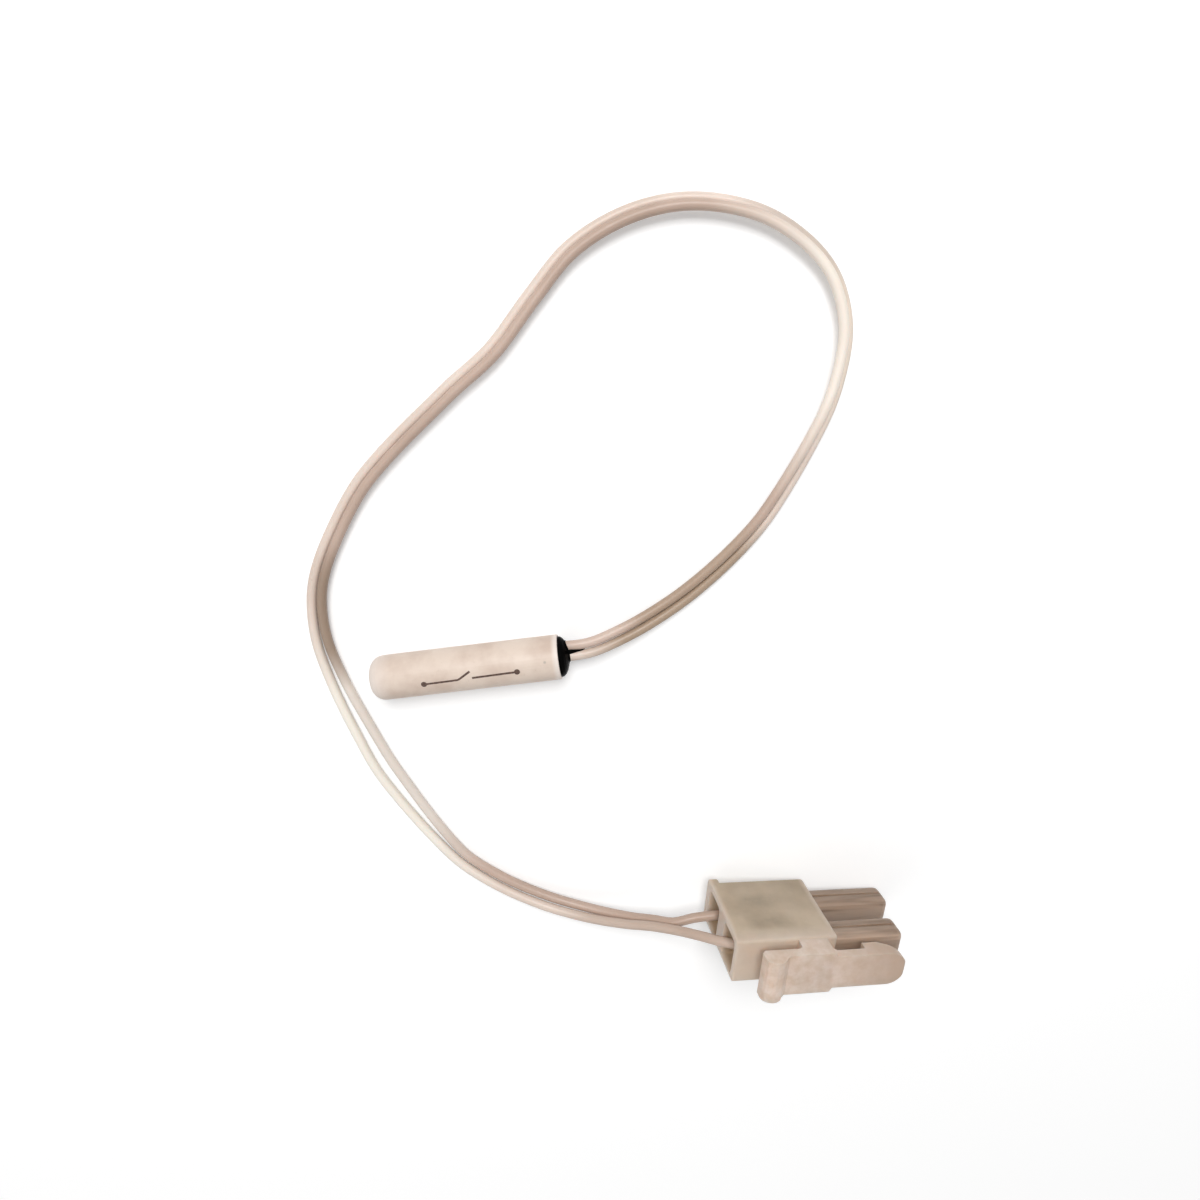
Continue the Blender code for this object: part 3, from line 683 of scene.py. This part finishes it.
@dataclass(frozen=True)
class CapsuleGlass(Look):
    """Clear, faintly green glass of the reed capsule, drawn slightly uneven."""

    finish: Finish = Finish.GLASS
    colour: Colour = (0.78, 0.88, 0.80)
    roughness: float = 0.03
    ior: float = 1.5
    waves: Noise = Noise(0.6, 2.0)
    relief: Relief = Relief(0.01, 0.4)

    def paint(self, graph: Graph) -> None:
        """Fill the material's graph.

        Args:
            graph: The empty graph.
        """
        graph.principled(
            Base_Color=self.colour,
            Roughness=self.roughness,
            Transmission_Weight=1.0,
            IOR=self.ior,
            Normal=self.relief.over(self.waves.over(graph.millimetres())),
        )


@dataclass(frozen=True)
class PrintInk(Look):
    """Dark printing ink, worn thin in places."""

    finish: Finish = Finish.INK
    dark: Colour = (0.045, 0.022, 0.015)
    worn: Colour = (0.17, 0.10, 0.075)
    wear: Noise = Noise(2.4, 4.0, 0.7)
    wear_share: Ramp = Ramp(0.42, 0.7)
    roughness: float = 0.55

    def paint(self, graph: Graph) -> None:
        """Fill the material's graph.

        Args:
            graph: The empty graph.
        """
        wear = self.wear_share.over(self.wear.over(graph.millimetres()))
        colour = graph.blend(wear, self.dark, self.worn)
        graph.principled(Base_Color=colour, Roughness=self.roughness)


@dataclass(frozen=True)
class PaleFloor(Look):
    """Plain pale floor that is seen to fade to white away from the part; fade is in metres."""

    finish: Finish = Finish.FLOOR
    colour: Colour = (0.86, 0.86, 0.86)
    glow: float = 0.24
    fade: Ramp = Ramp(0.09, 0.32)

    def paint(self, graph: Graph) -> None:
        """Fill the material's graph.

        Args:
            graph: The empty graph.
        """
        plain = graph.add("ShaderNodeBsdfDiffuse", None, {"Color": self.colour})
        glow = graph.add("ShaderNodeEmission", None, {"Color": WHITE, "Strength": self.glow})
        lifted = graph.add("ShaderNodeAddShader", None, {0: plain.out(0), 1: glow.out(0)})
        white = graph.add("ShaderNodeEmission", None, {"Color": WHITE, "Strength": 1.0})
        place = graph.add("ShaderNodeTexCoord").out("Object")
        away = graph.vector_math("LENGTH", "Value", {0: place})
        shown = graph.mix_shaders(self.fade.over(away), lifted, white)
        mixed = graph.mix_shaders(graph.background_rays(), plain, shown)
        graph.add("ShaderNodeOutputMaterial", None, {"Surface": mixed.out(0)})


# Darker near the plug: partly handling dirt, partly painted shade
PLUG_DIRT_AND_SHADE = Patch(tuple(value / MM for value in PLUG_PLACE), 9.0, 20.0, (0.46, 0.335, 0.26), 0.7)
LOOKS: tuple[Look, ...] = (
    MouldedShell(),
    BlackResin(),
    CapsuleGlass(),
    MilkyNylon(),
    PrintInk(),
    BrightMetal(Finish.TIN, (0.62, 0.57, 0.52), (0.42, 0.37, 0.33), Swing(0.32, 0.2)),
    BrightMetal(Finish.REED, (0.66, 0.63, 0.58), (0.55, 0.52, 0.47), Swing(0.25, 0.2)),
    BrightMetal(Finish.STRAND, (0.72, 0.70, 0.67), (0.60, 0.57, 0.53), Swing(0.35, 0.2), Noise(8.0)),
    BrightMetal(Finish.SOLDER, (0.66, 0.67, 0.69), (0.50, 0.51, 0.53), Swing(0.28, 0.2)),
    # Each jacket's patches are painted light and painted shade: lighter where the wires lie in light, darker
    # where they lie in shade
    WireJacket(Finish.JACKET_A, (0.57, 0.43, 0.355), (0.47, 0.345, 0.275), (
        Patch((50.0, 36.0, 1.3), 8.0, 21.5, (0.90, 0.81, 0.72), 1.0),
        Patch((-15.5, -12.0, 0.8), 11.0, 22.0, (0.80, 0.73, 0.66), 0.85),
        Patch((-20.0, 9.0, 1.0), 5.0, 11.0, (0.30, 0.215, 0.155), 0.9),
        Patch((29.0, 7.0, 1.0), 7.0, 13.0, (0.40, 0.29, 0.205), 0.75),
        Patch((16.2, 1.7, 2.7), 2.0, 6.0, (0.67, 0.53, 0.45), 0.8),
        PLUG_DIRT_AND_SHADE,
    )),
    WireJacket(Finish.JACKET_B, (0.79, 0.67, 0.59), (0.68, 0.56, 0.48), (
        Patch((50.0, 36.0, 1.3), 6.0, 15.0, (0.84, 0.73, 0.62), 0.8),
        Patch((-15.5, -14.0, 0.8), 12.0, 24.0, (0.92, 0.86, 0.77), 0.9),
        Patch((27.0, 6.0, 1.0), 9.0, 15.0, (0.37, 0.265, 0.18), 0.9),
        Patch((46.0, 47.0, 1.3), 4.0, 10.0, (0.52, 0.44, 0.38), 0.65),
        Patch((17.0, -39.5, 5.0), 7.0, 13.0, (0.48, 0.36, 0.29), 0.7),
        PLUG_DIRT_AND_SHADE,
    )),
)
WORN: dict[str, Finish] = {
    "sensor_housing": Finish.SHELL,
    "potting_compound": Finish.RESIN,
    "glass_capsule": Finish.GLASS,
    "reed_blade_near": Finish.REED,
    "reed_blade_far": Finish.REED,
    "solder_joint_near": Finish.SOLDER,
    "solder_joint_far": Finish.SOLDER,
    "conductor_sensor_a": Finish.STRAND,
    "conductor_sensor_b": Finish.STRAND,
    "conductor_plug_a": Finish.STRAND,
    "conductor_plug_b": Finish.STRAND,
    "contact_a": Finish.TIN,
    "contact_b": Finish.TIN,
    "plug_housing": Finish.NYLON,
    "wire_a": Finish.JACKET_A,
    "wire_b": Finish.JACKET_B,
}


def link(piece: bpy.types.Object) -> bpy.types.Object:
    """Link a new object to the scene."""
    bpy.context.scene.collection.objects.link(piece)
    return piece


def dress(piece: bpy.types.Object, material: bpy.types.Material) -> None:
    """Give an object one material in all its slots.

    Args:
        piece: The object to dress.
        material: The material that it gets.
    """
    if not piece.material_slots:
        piece.data.materials.append(material)
    for slot in piece.material_slots:
        slot.material = material


def mesh_piece(name: str, shape: bmesh.types.BMesh, material: bpy.types.Material) -> bpy.types.Object:
    """Turn a finished shape into a dressed object.

    Args:
        name: The object's name.
        shape: The shape, which is freed.
        material: The material that the object gets.

    Returns:
        The object, linked to the scene.
    """
    mesh = bpy.data.meshes.new(name)
    shape.to_mesh(mesh)
    shape.free()
    piece = link(bpy.data.objects.new(name, mesh))
    dress(piece, material)
    return piece


def loft(shape: bmesh.types.BMesh, rings: Sequence[Sequence[Vector]], closed: bool) -> None:
    """Join rings of points into a closed skin.

    Args:
        shape: The mesh that gets the skin.
        rings: The rings in order, each with as many points.
        closed: Join the last ring to the first, or else cap both.
    """
    rows = [[shape.verts.new(point) for point in ring] for ring in rings]
    following = rows[1:] + rows[:1] if closed else rows[1:]
    for low, high in zip(rows, following):
        for i in range(len(low)):
            j = (i + 1) % len(low)
            shape.faces.new((low[i], low[j], high[j], high[i]))
    if not closed:
        shape.faces.new(rows[0])
        shape.faces.new(list(reversed(rows[-1])))


def plug_frame() -> Matrix:
    """Return the plug's own frame: X to the nose, Z to the latch."""
    lean = Euler([math.radians(angle) for angle in PLUG_LEAN])
    return Matrix.Translation(PLUG_PLACE) @ lean.to_matrix().to_4x4()


def run_length(points: Sequence[Vector]) -> float:
    """Return the length of a line through points."""
    return sum((b - a).length for a, b in zip(points, points[1:]))


def smooth_curve(controls: Sequence[Vector], samples: int) -> list[Vector]:
    """Run a smooth curve through the control points.

    Args:
        controls: The points that the curve passes through.
        samples: How many points it gets for each control point.

    Returns:
        The points, both ends included.
    """
    ends = [controls[0] * 2 - controls[1], *controls, controls[-1] * 2 - controls[-2]]
    curve: list[Vector] = []
    for before, start, end, after in zip(ends, ends[1:], ends[2:], ends[3:]):
        span = (end - start).length
        out = (end - before) / ((start - before).length + span) * span
        into = (after - start) / (span + (after - end).length) * span
        for i in range(samples):
            t = i / samples
            curve.append(
                start * (2 * t**3 - 3 * t**2 + 1) + out * (t**3 - 2 * t**2 + t)
                + end * (3 * t**2 - 2 * t**3) + into * (t**3 - t**2)
            )
    curve.append(controls[-1])
    return curve


def even_points(line: Sequence[Vector], step: float) -> list[Vector]:
    """Space points evenly along a line.

    Args:
        line: The line's own points.
        step: The distance wanted between the points.

    Returns:
        The points, both ends included.
    """
    total = run_length(line)
    count = max(2, round(total / step))
    tolerance = 1e-7
    points = [line[0]]
    walked = 0.0
    target = total / count
    for a, b in zip(line, line[1:]):
        length = (b - a).length
        while walked + length >= target - tolerance and len(points) < count:
            points.append(a.lerp(b, (target - walked) / length))
            target += total / count
        walked += length
    points.append(line[-1])
    return points


@dataclass(frozen=True)
class RoutePoint:
    """One point of the pair's middle line: place, twist in degrees and half of the spacing."""

    x: float
    y: float
    z: float
    twist: float
    half: float = 0.00070

    @property
    def place(self) -> Vector:
        """The point itself."""
        return Vector((self.x, self.y, self.z))


@dataclass
class WirePair:
    """The two free wires, from inside the resin to inside the plug's crimps.

    They start at strip_x inside the sensor and leave it at rim_x. In the plug's frame they run straight
    down their circuits, which lie pitch apart, from straight_from past the crimp's rear grip at
    grip_back to jacket_end. end_gap keeps both ends clear of the bare strands. The route's points are
    in the part's frame, and those of plug_route in the plug's.
    """

    radius: float = WIRE_RADIUS
    spacing: float = WIRE_SPACING
    pair_y: float = PAIR_Y
    axis_z: float = AXIS_Z
    strip_x: float = 0.00695
    rim_x: float = 0.01095
    end_gap: float = 0.0001
    pitch: float = 0.00635
    straight_from: float = -0.0041975
    grip_back: float = -0.00332
    jacket_end: float = -0.00032
    step: float = 0.0007
    samples: int = 24
    bevel_resolution: int = 4
    route: tuple[RoutePoint, ...] = (
        RoutePoint(0.0146, 0.00068, 0.00286, 0),
        RoutePoint(0.0176, 0.00130, 0.00245, 4),
        RoutePoint(0.0226, 0.00300, 0.00155, 10),
        RoutePoint(0.0285, 0.00605, 0.00105, 18),
        RoutePoint(0.0346, 0.01050, 0.00102, 28),
        RoutePoint(0.0394, 0.01520, 0.00113, 38),
        RoutePoint(0.0462, 0.02480, 0.00125, 52),
        RoutePoint(0.0487, 0.03000, 0.00128, 56),
        RoutePoint(0.0500, 0.03600, 0.00129, 58),
        RoutePoint(0.0489, 0.04180, 0.00129, 58),
        RoutePoint(0.0456, 0.04630, 0.00128, 56),
        RoutePoint(0.0404, 0.04990, 0.00125, 52),
        RoutePoint(0.0330, 0.05190, 0.00122, 48),
        RoutePoint(0.0259, 0.05140, 0.00118, 44),
        RoutePoint(0.0190, 0.04860, 0.00116, 42),
        RoutePoint(0.0136, 0.04390, 0.00114, 40),
        RoutePoint(0.0080, 0.03850, 0.00113, 38),
        RoutePoint(0.0018, 0.03440, 0.00111, 36),
        RoutePoint(-0.0096, 0.02590, 0.00104, 30),
        RoutePoint(-0.0151, 0.01940, 0.00098, 24),
        RoutePoint(-0.0188, 0.01290, 0.00092, 18, 0.00072),
        RoutePoint(-0.0199, 0.00640, 0.00083, 10, 0.00078),
        RoutePoint(-0.0191, 0.00000, 0.00076, 4, 0.00092),
        RoutePoint(-0.0172, -0.00730, 0.00072, 0, 0.00112),
        RoutePoint(-0.0146, -0.01500, 0.00072, 0, 0.00125),
        RoutePoint(-0.0078, -0.02770, 0.00082, -8, 0.00076),
        RoutePoint(-0.0030, -0.03250, 0.00100, -18),
        RoutePoint(0.0032, -0.03640, 0.00145, -34),
        RoutePoint(0.0094, -0.03860, 0.00250, -54),
        RoutePoint(0.0150, -0.03930, 0.00425, -80),
        RoutePoint(0.0186, -0.03920, 0.00560, -90),
    )
    plug_route: tuple[RoutePoint, ...] = (
        RoutePoint(-0.0120, -0.00175, -0.00325, 0, 0.00080),
        RoutePoint(-0.0095, -0.00090, -0.00195, 0, 0.00172),
        RoutePoint(-0.0070, -0.00030, -0.00074, 0, 0.00255),
    )

    def controls(self, side: int) -> list[Vector]:
        """Find the control points of one wire.

        Args:
            side: 1 for wire_a and -1 for wire_b.

        Returns:
            The points from the resin to the crimp.
        """
        plug = plug_frame()
        start_y = self.pair_y + side * self.spacing / 2
        starts = (self.strip_x + self.end_gap, (self.strip_x + self.rim_x) / 2, self.rim_x)
        points = [Vector((x, start_y, self.axis_z)) for x in starts]
        middles = [row.place for row in self.route]
        ahead = middles[1:] + [plug @ self.plug_route[0].place]
        before = [points[-1]] + middles[:-1]
        for row, middle, last, following in zip(self.route, middles, before, ahead):
            along = (following - last).normalized()
            left = Vector((-along.y, along.x, 0.0)).normalized()
            twist = math.radians(row.twist)
            offset = left * math.cos(twist) + along.cross(left) * math.sin(twist)
            points.append(middle + offset * row.half * side)
        for row in self.plug_route:
            points.append(plug @ Vector((row.x, row.y, row.z - side * row.half)))
        circuit = -side * self.pitch / 2
        for x in (self.straight_from, self.grip_back, self.jacket_end - self.end_gap):
            points.append(plug @ Vector((x, 0.0, circuit)))
        return points

    def tube(self, name: str, points: Sequence[Vector], jacket: bpy.types.Material) -> bpy.types.Object:
        """Sweep a wire's round section along its points.

        Args:
            name: The wire's name.
            points: The points of its middle line.
            jacket: The jacket's material.

        Returns:
            The wire.
        """
        curve = bpy.data.curves.new(name, "CURVE")
        curve.dimensions = "3D"
        curve.bevel_depth = self.radius
        curve.bevel_resolution = self.bevel_resolution
        curve.use_fill_caps = True
        spline = curve.splines.new("POLY")
        spline.points.add(len(points) - 1)
        for point, place in zip(spline.points, points):
            point.co = (*place, 1.0)
        spline.use_smooth = True
        wire = link(bpy.data.objects.new(name, curve))
        dress(wire, jacket)
        return wire

    def build(self, materials: dict[Finish, bpy.types.Material]) -> list[bpy.types.Object]:
        """Args:
            materials: The part's materials by finish.

        Returns:
            The two wires.
        """
        wires = []
        for label, side, finish in (("a", 1, Finish.JACKET_A), ("b", -1, Finish.JACKET_B)):
            points = even_points(smooth_curve(self.controls(side), self.samples), self.step)
            wire = self.tube(f"insulated_wire_{label}", points, materials[finish])
            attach(wire, ROOT)
            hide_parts(f"wire_{label}")
            run_length(points)
            wires.append(wire)
        return wires


@dataclass
class ContactSymbol:
    """The plain printed sign of a normally open contact, wrapped on the tube.

    Places in the flat print are the distance along the tube and the distance round it from its top.
    """

    radius: float = 0.00292
    lift: float = 0.000012
    axis_z: float = AXIS_Z
    line: float = 0.00027
    line_rows: int = 12
    dot: float = 0.00038
    dot_sides: int = 20
    first_dot: tuple[float, float] = (-0.00637, -0.00059)
    hinge: tuple[float, float] = (-0.00199, -0.00053)
    lever_tip: tuple[float, float] = (-0.00035, 0.00043)
    second_start: tuple[float, float] = (-0.00018, -0.00048)
    second_dot: tuple[float, float] = (0.00559, -0.00038)

    def wrap(self, x: float, along: float) -> Vector:
        """Wrap a place in the flat print on the tube.

        Args:
            x: The place along the tube.
            along: The distance round the tube from its top, positive towards +Y.

        Returns:
            The point just above the tube's surface.
        """
        angle = along / self.radius
        reach = self.radius + self.lift
        return Vector((x, reach * math.sin(angle), self.axis_z + reach * math.cos(angle)))

    def stroke(self, shape: bmesh.types.BMesh, start: Sequence[float], end: Sequence[float]) -> None:
        """Add one line of the print.

        Args:
            shape: The mesh that gets the line.
            start: The line's start in the flat print.
            end: The line's end in the flat print.
        """
        a, b = Vector(start), Vector(end)
        side = (b - a).normalized().orthogonal() * self.line / 2
        rows = []
        for i in range(self.line_rows + 1):
            middle = a.lerp(b, i / self.line_rows)
            rows.append([shape.verts.new(self.wrap(*(middle + side * k))) for k in (-1.0, 0.0, 1.0)])
        for low, high in zip(rows, rows[1:]):
            for k in (0, 1):
                shape.faces.new((low[k], high[k], high[k + 1], low[k + 1]))

    def spot(self, shape: bmesh.types.BMesh, centre: Sequence[float]) -> None:
        """Add one round dot of the print.

        Args:
            shape: The mesh that gets the dot.
            centre: The dot's place in the flat print.
        """
        middle = shape.verts.new(self.wrap(*centre))
        ring = []
        for i in range(self.dot_sides):
            angle = math.tau * i / self.dot_sides
            x = centre[0] + self.dot * math.cos(angle)
            ring.append(shape.verts.new(self.wrap(x, centre[1] + self.dot * math.sin(angle))))
        for first, second in zip(ring, ring[1:] + ring[:1]):
            shape.faces.new((middle, first, second))

    def build(self, ink: bpy.types.Material) -> bpy.types.Object:
        """Print the sign on the tube.

        Args:
            ink: The ink's material.

        Returns:
            The printed sign.
        """
        shape = bmesh.new()
        self.spot(shape, self.first_dot)
        self.spot(shape, self.second_dot)
        self.stroke(shape, self.first_dot, self.hinge)
        self.stroke(shape, self.hinge, self.lever_tip)
        self.stroke(shape, self.second_start, self.second_dot)
        bmesh.ops.recalc_face_normals(shape, faces=shape.faces)
        for face in shape.faces:
            if face.normal.z < 0.0:
                face.normal_flip()
        sign = mesh_piece("contact_symbol", shape, ink)
        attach(sign, ROOT)
        return sign


@dataclass(frozen=True)
class Taper:
    """A size that shrinks towards a tip: what it loses, what is left, and the power of the curve."""

    lost: float
    tip: float
    power: float

    def at(self, share: float) -> float:
        """Return the size at a share of the way to the tip."""
        return self.lost * (1.0 - share) ** self.power + self.tip


@dataclass
class ResinCreep:
    """The resin that wets the wires: a fillet round each one and a sliver in the groove between them.

    The resin's dome starts at cover_x with dome_radius and rises by dome_rise. A fillet reaches out from
    its wire and rises along it, lifted clear of the dome, with its foot sunk in the dome and its inside
    in the wire by bite. The slivers start sliver_root behind the dome's top, sliver_gap off the plane of
    the wires, and sink by sliver_drop as they thin out towards sliver_end.
    """

    cover_x: float = 0.01100
    dome_radius: float = 0.00266
    dome_rise: float = 0.00120
    axis_z: float = AXIS_Z
    wire_radius: float = WIRE_RADIUS
    wire_y: tuple[float, float] = (PAIR_Y + WIRE_SPACING / 2, PAIR_Y - WIRE_SPACING / 2)
    reach: float = 0.00026
    rise: float = 0.00018
    lifted: float = 0.00001
    sunk: float = 0.00012
    bite: float = 0.00008
    section_steps: int = 6
    around: int = 32
    sliver_root: float = 0.0003
    sliver_end: float = 0.01430
    sliver_wide: Taper = Taper(0.00050, 0.00003, 0.8)
    sliver_tall: Taper = Taper(0.00052, 0.00004, 0.5)
    sliver_drop: float = 0.00005
    sliver_gap: float = 0.00006
    sliver_rows: int = 14
    sliver_sides: int = 12

    def on_dome(self, y: float, z: float, above: float) -> Vector:
        """Return the point above the resin's dome for a place across it."""
        out = min(1.0, math.hypot(y, z - self.axis_z) / self.dome_radius)
        return Vector((self.cover_x + self.dome_rise * math.sqrt(1.0 - out * out) + above, y, z))

    def fillet(self, shape: bmesh.types.BMesh, wire_y: float) -> None:
        """Add the fillet round one wire, where it leaves the dome.

        Args:
            shape: The mesh that gets the fillet.
            wire_y: The wire's place across the sensor.
        """
        section = []
        for step in range(self.section_steps + 1):
            out = step / self.section_steps
            height = 1.0 - math.sqrt(1.0 - (1.0 - out) ** 2)
            section.append((out * self.reach, height * self.rise + self.lifted))
        section += [(self.reach, -self.sunk), (-self.bite, -self.sunk)]
        rings = []
        for i in range(self.around):
            angle = math.tau * i / self.around
            ring = []
            for out, above in section:
                span = self.wire_radius + out
                y = wire_y + span * math.cos(angle)
                ring.append(self.on_dome(y, self.axis_z + span * math.sin(angle), above))
            rings.append(ring)
        loft(shape, rings, closed=True)

    def sliver(self, shape: bmesh.types.BMesh, side: int) -> None:
        """Add the tapering sliver in the groove above or below the wires.

        Args:
            shape: The mesh that gets the sliver.
            side: 1 above the wires and -1 below them.
        """
        start = self.cover_x + self.dome_rise - self.sliver_root
        middle_y = sum(self.wire_y) / 2
        rings = []
        for row in range(self.sliver_rows + 1):
            share = row / self.sliver_rows
            x = start + (self.sliver_end - start) * share
            wide = self.sliver_wide.at(share)
            tall = self.sliver_tall.at(share)
            low = self.axis_z - self.sliver_drop * share
            ring = []
            for i in range(self.sliver_sides):
                angle = math.tau * i / self.sliver_sides
                up = self.sliver_gap + tall * (0.5 + 0.5 * math.sin(angle))
                ring.append(Vector((x, middle_y + wide * math.cos(angle), low + side * up)))
            rings.append(ring)
        loft(shape, rings, closed=False)

    def build(self, resin: bpy.types.Material) -> bpy.types.Object:
        """Make the resin that climbs the wires.

        Args:
            resin: The resin's material.

        Returns:
            The piece.
        """
        shape = bmesh.new()
        for wire_y in self.wire_y:
            self.fillet(shape, wire_y)
        for side in (1, -1):
            self.sliver(shape, side)
        bmesh.ops.recalc_face_normals(shape, faces=shape.faces)
        creep = mesh_piece("resin_creep", shape, resin)
        creep.data.polygons.foreach_set("use_smooth", [True] * len(creep.data.polygons))
        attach(creep, ROOT)
        return creep


@dataclass
class SolidPieces:
    """The pieces that come from the CAD model."""

    nodes: dict[str, bpy.types.Object]

    def build(self) -> dict[Finish, bpy.types.Material]:
        """Make the part's materials and dress the CAD nodes.

        Returns:
            The materials by finish.
        """
        materials = {look.finish: look.build() for look in LOOKS}
        for node, finish in WORN.items():
            dress(self.nodes[node], materials[finish])
            LOG.info("%s is dressed in %s", node, finish.value)
        return materials


@dataclass(frozen=True)
class Lamp:
    """One soft square lamp that faces the part."""

    name: str
    place: Place
    watts: float
    size: float
    target: Place = (0.018, 0.0, 0.0)

    def hang(self) -> None:
        """Hang the lamp in the scene."""
        lamp = bpy.data.lights.new(self.name, "AREA")
        lamp.energy = self.watts
        lamp.size = self.size
        hung = link(bpy.data.objects.new(self.name, lamp))
        hung.location = self.place
        facing = Vector(self.target) - Vector(self.place)
        hung.rotation_euler = facing.to_track_quat("-Z", "Y").to_euler()


@dataclass
class Studio:
    """Pale floor, soft lamps and the photograph's camera.

    The camera is turned by degrees, and its focal length is in pixels of the photograph's frame.
    """

    camera_place: Place = (0.02045, 0.03392, 0.1033)
    camera_turn: tuple[float, float, float] = (-15.19, 0.0, -7.15)
    focal_pixels: float = 820.0
    frame_pixels: float = 1200.0
    sensor_mm: float = 36.0
    nearest: float = 0.001
    farthest: float = 50.0
    floor_look: PaleFloor = PaleFloor()
    floor_half: float = 3.0
    floor_sunk: float = 0.00002
    ambient: float = 0.31
    lamps: tuple[Lamp, ...] = (
        Lamp("key", (0.05, 0.26, 0.45), 2.0, 0.24),
        Lamp("fill", (-0.30, -0.20, 0.38), 0.40, 0.35),
    )

    def add_floor(self) -> None:
        """Lay the pale floor."""
        shape = bmesh.new()
        bmesh.ops.create_grid(shape, x_segments=1, y_segments=1, size=self.floor_half)
        floor = mesh_piece("floor", shape, self.floor_look.build())
        floor.location.z = -self.floor_sunk

    def add_world(self) -> None:
        """Light the surroundings evenly and show them white."""
        world = bpy.data.worlds.new("studio")
        world.use_nodes = True
        bpy.context.scene.world = world
        graph = Graph(world.node_tree)
        even = graph.add("ShaderNodeBackground", None, {"Color": WHITE, "Strength": self.ambient})
        white = graph.add("ShaderNodeBackground", None, {"Color": WHITE, "Strength": 1.0})
        mixed = graph.mix_shaders(graph.background_rays(), even, white)
        graph.add("ShaderNodeOutputWorld", None, {"Surface": mixed.out(0)})

    def add_camera(self) -> None:
        """Set up the photograph's camera."""
        camera = bpy.data.cameras.new("camera")
        camera.sensor_width = self.sensor_mm
        camera.lens = self.sensor_mm * self.focal_pixels / self.frame_pixels
        camera.clip_start = self.nearest
        camera.clip_end = self.farthest
        stand = link(bpy.data.objects.new("camera", camera))
        stand.location = self.camera_place
        stand.rotation_euler = [math.radians(angle) for angle in self.camera_turn]
        bpy.context.scene.camera = stand

    def build(self) -> None:
        """Set up floor, world, lamps and camera."""
        self.add_floor()
        self.add_world()
        for lamp in self.lamps:
            lamp.hang()
        self.add_camera()
        bpy.context.scene.view_settings.view_transform = "Standard"


def main() -> None:
    """Load the frame, dress it, build the scene's own pieces and set up the studio."""
    logging.basicConfig(level=logging.INFO)
    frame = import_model()
    materials = SolidPieces(frame["nodes"]).build()
    pieces = WirePair().build(materials)
    pieces.append(ContactSymbol().build(materials[Finish.INK]))
    pieces.append(ResinCreep().build(materials[Finish.RESIN]))
    for piece in pieces:
        LOG.info("%s is built", piece.name)
    Studio().build()
    LOG.info("the studio is set up")


if __name__ == "__main__":
    main()
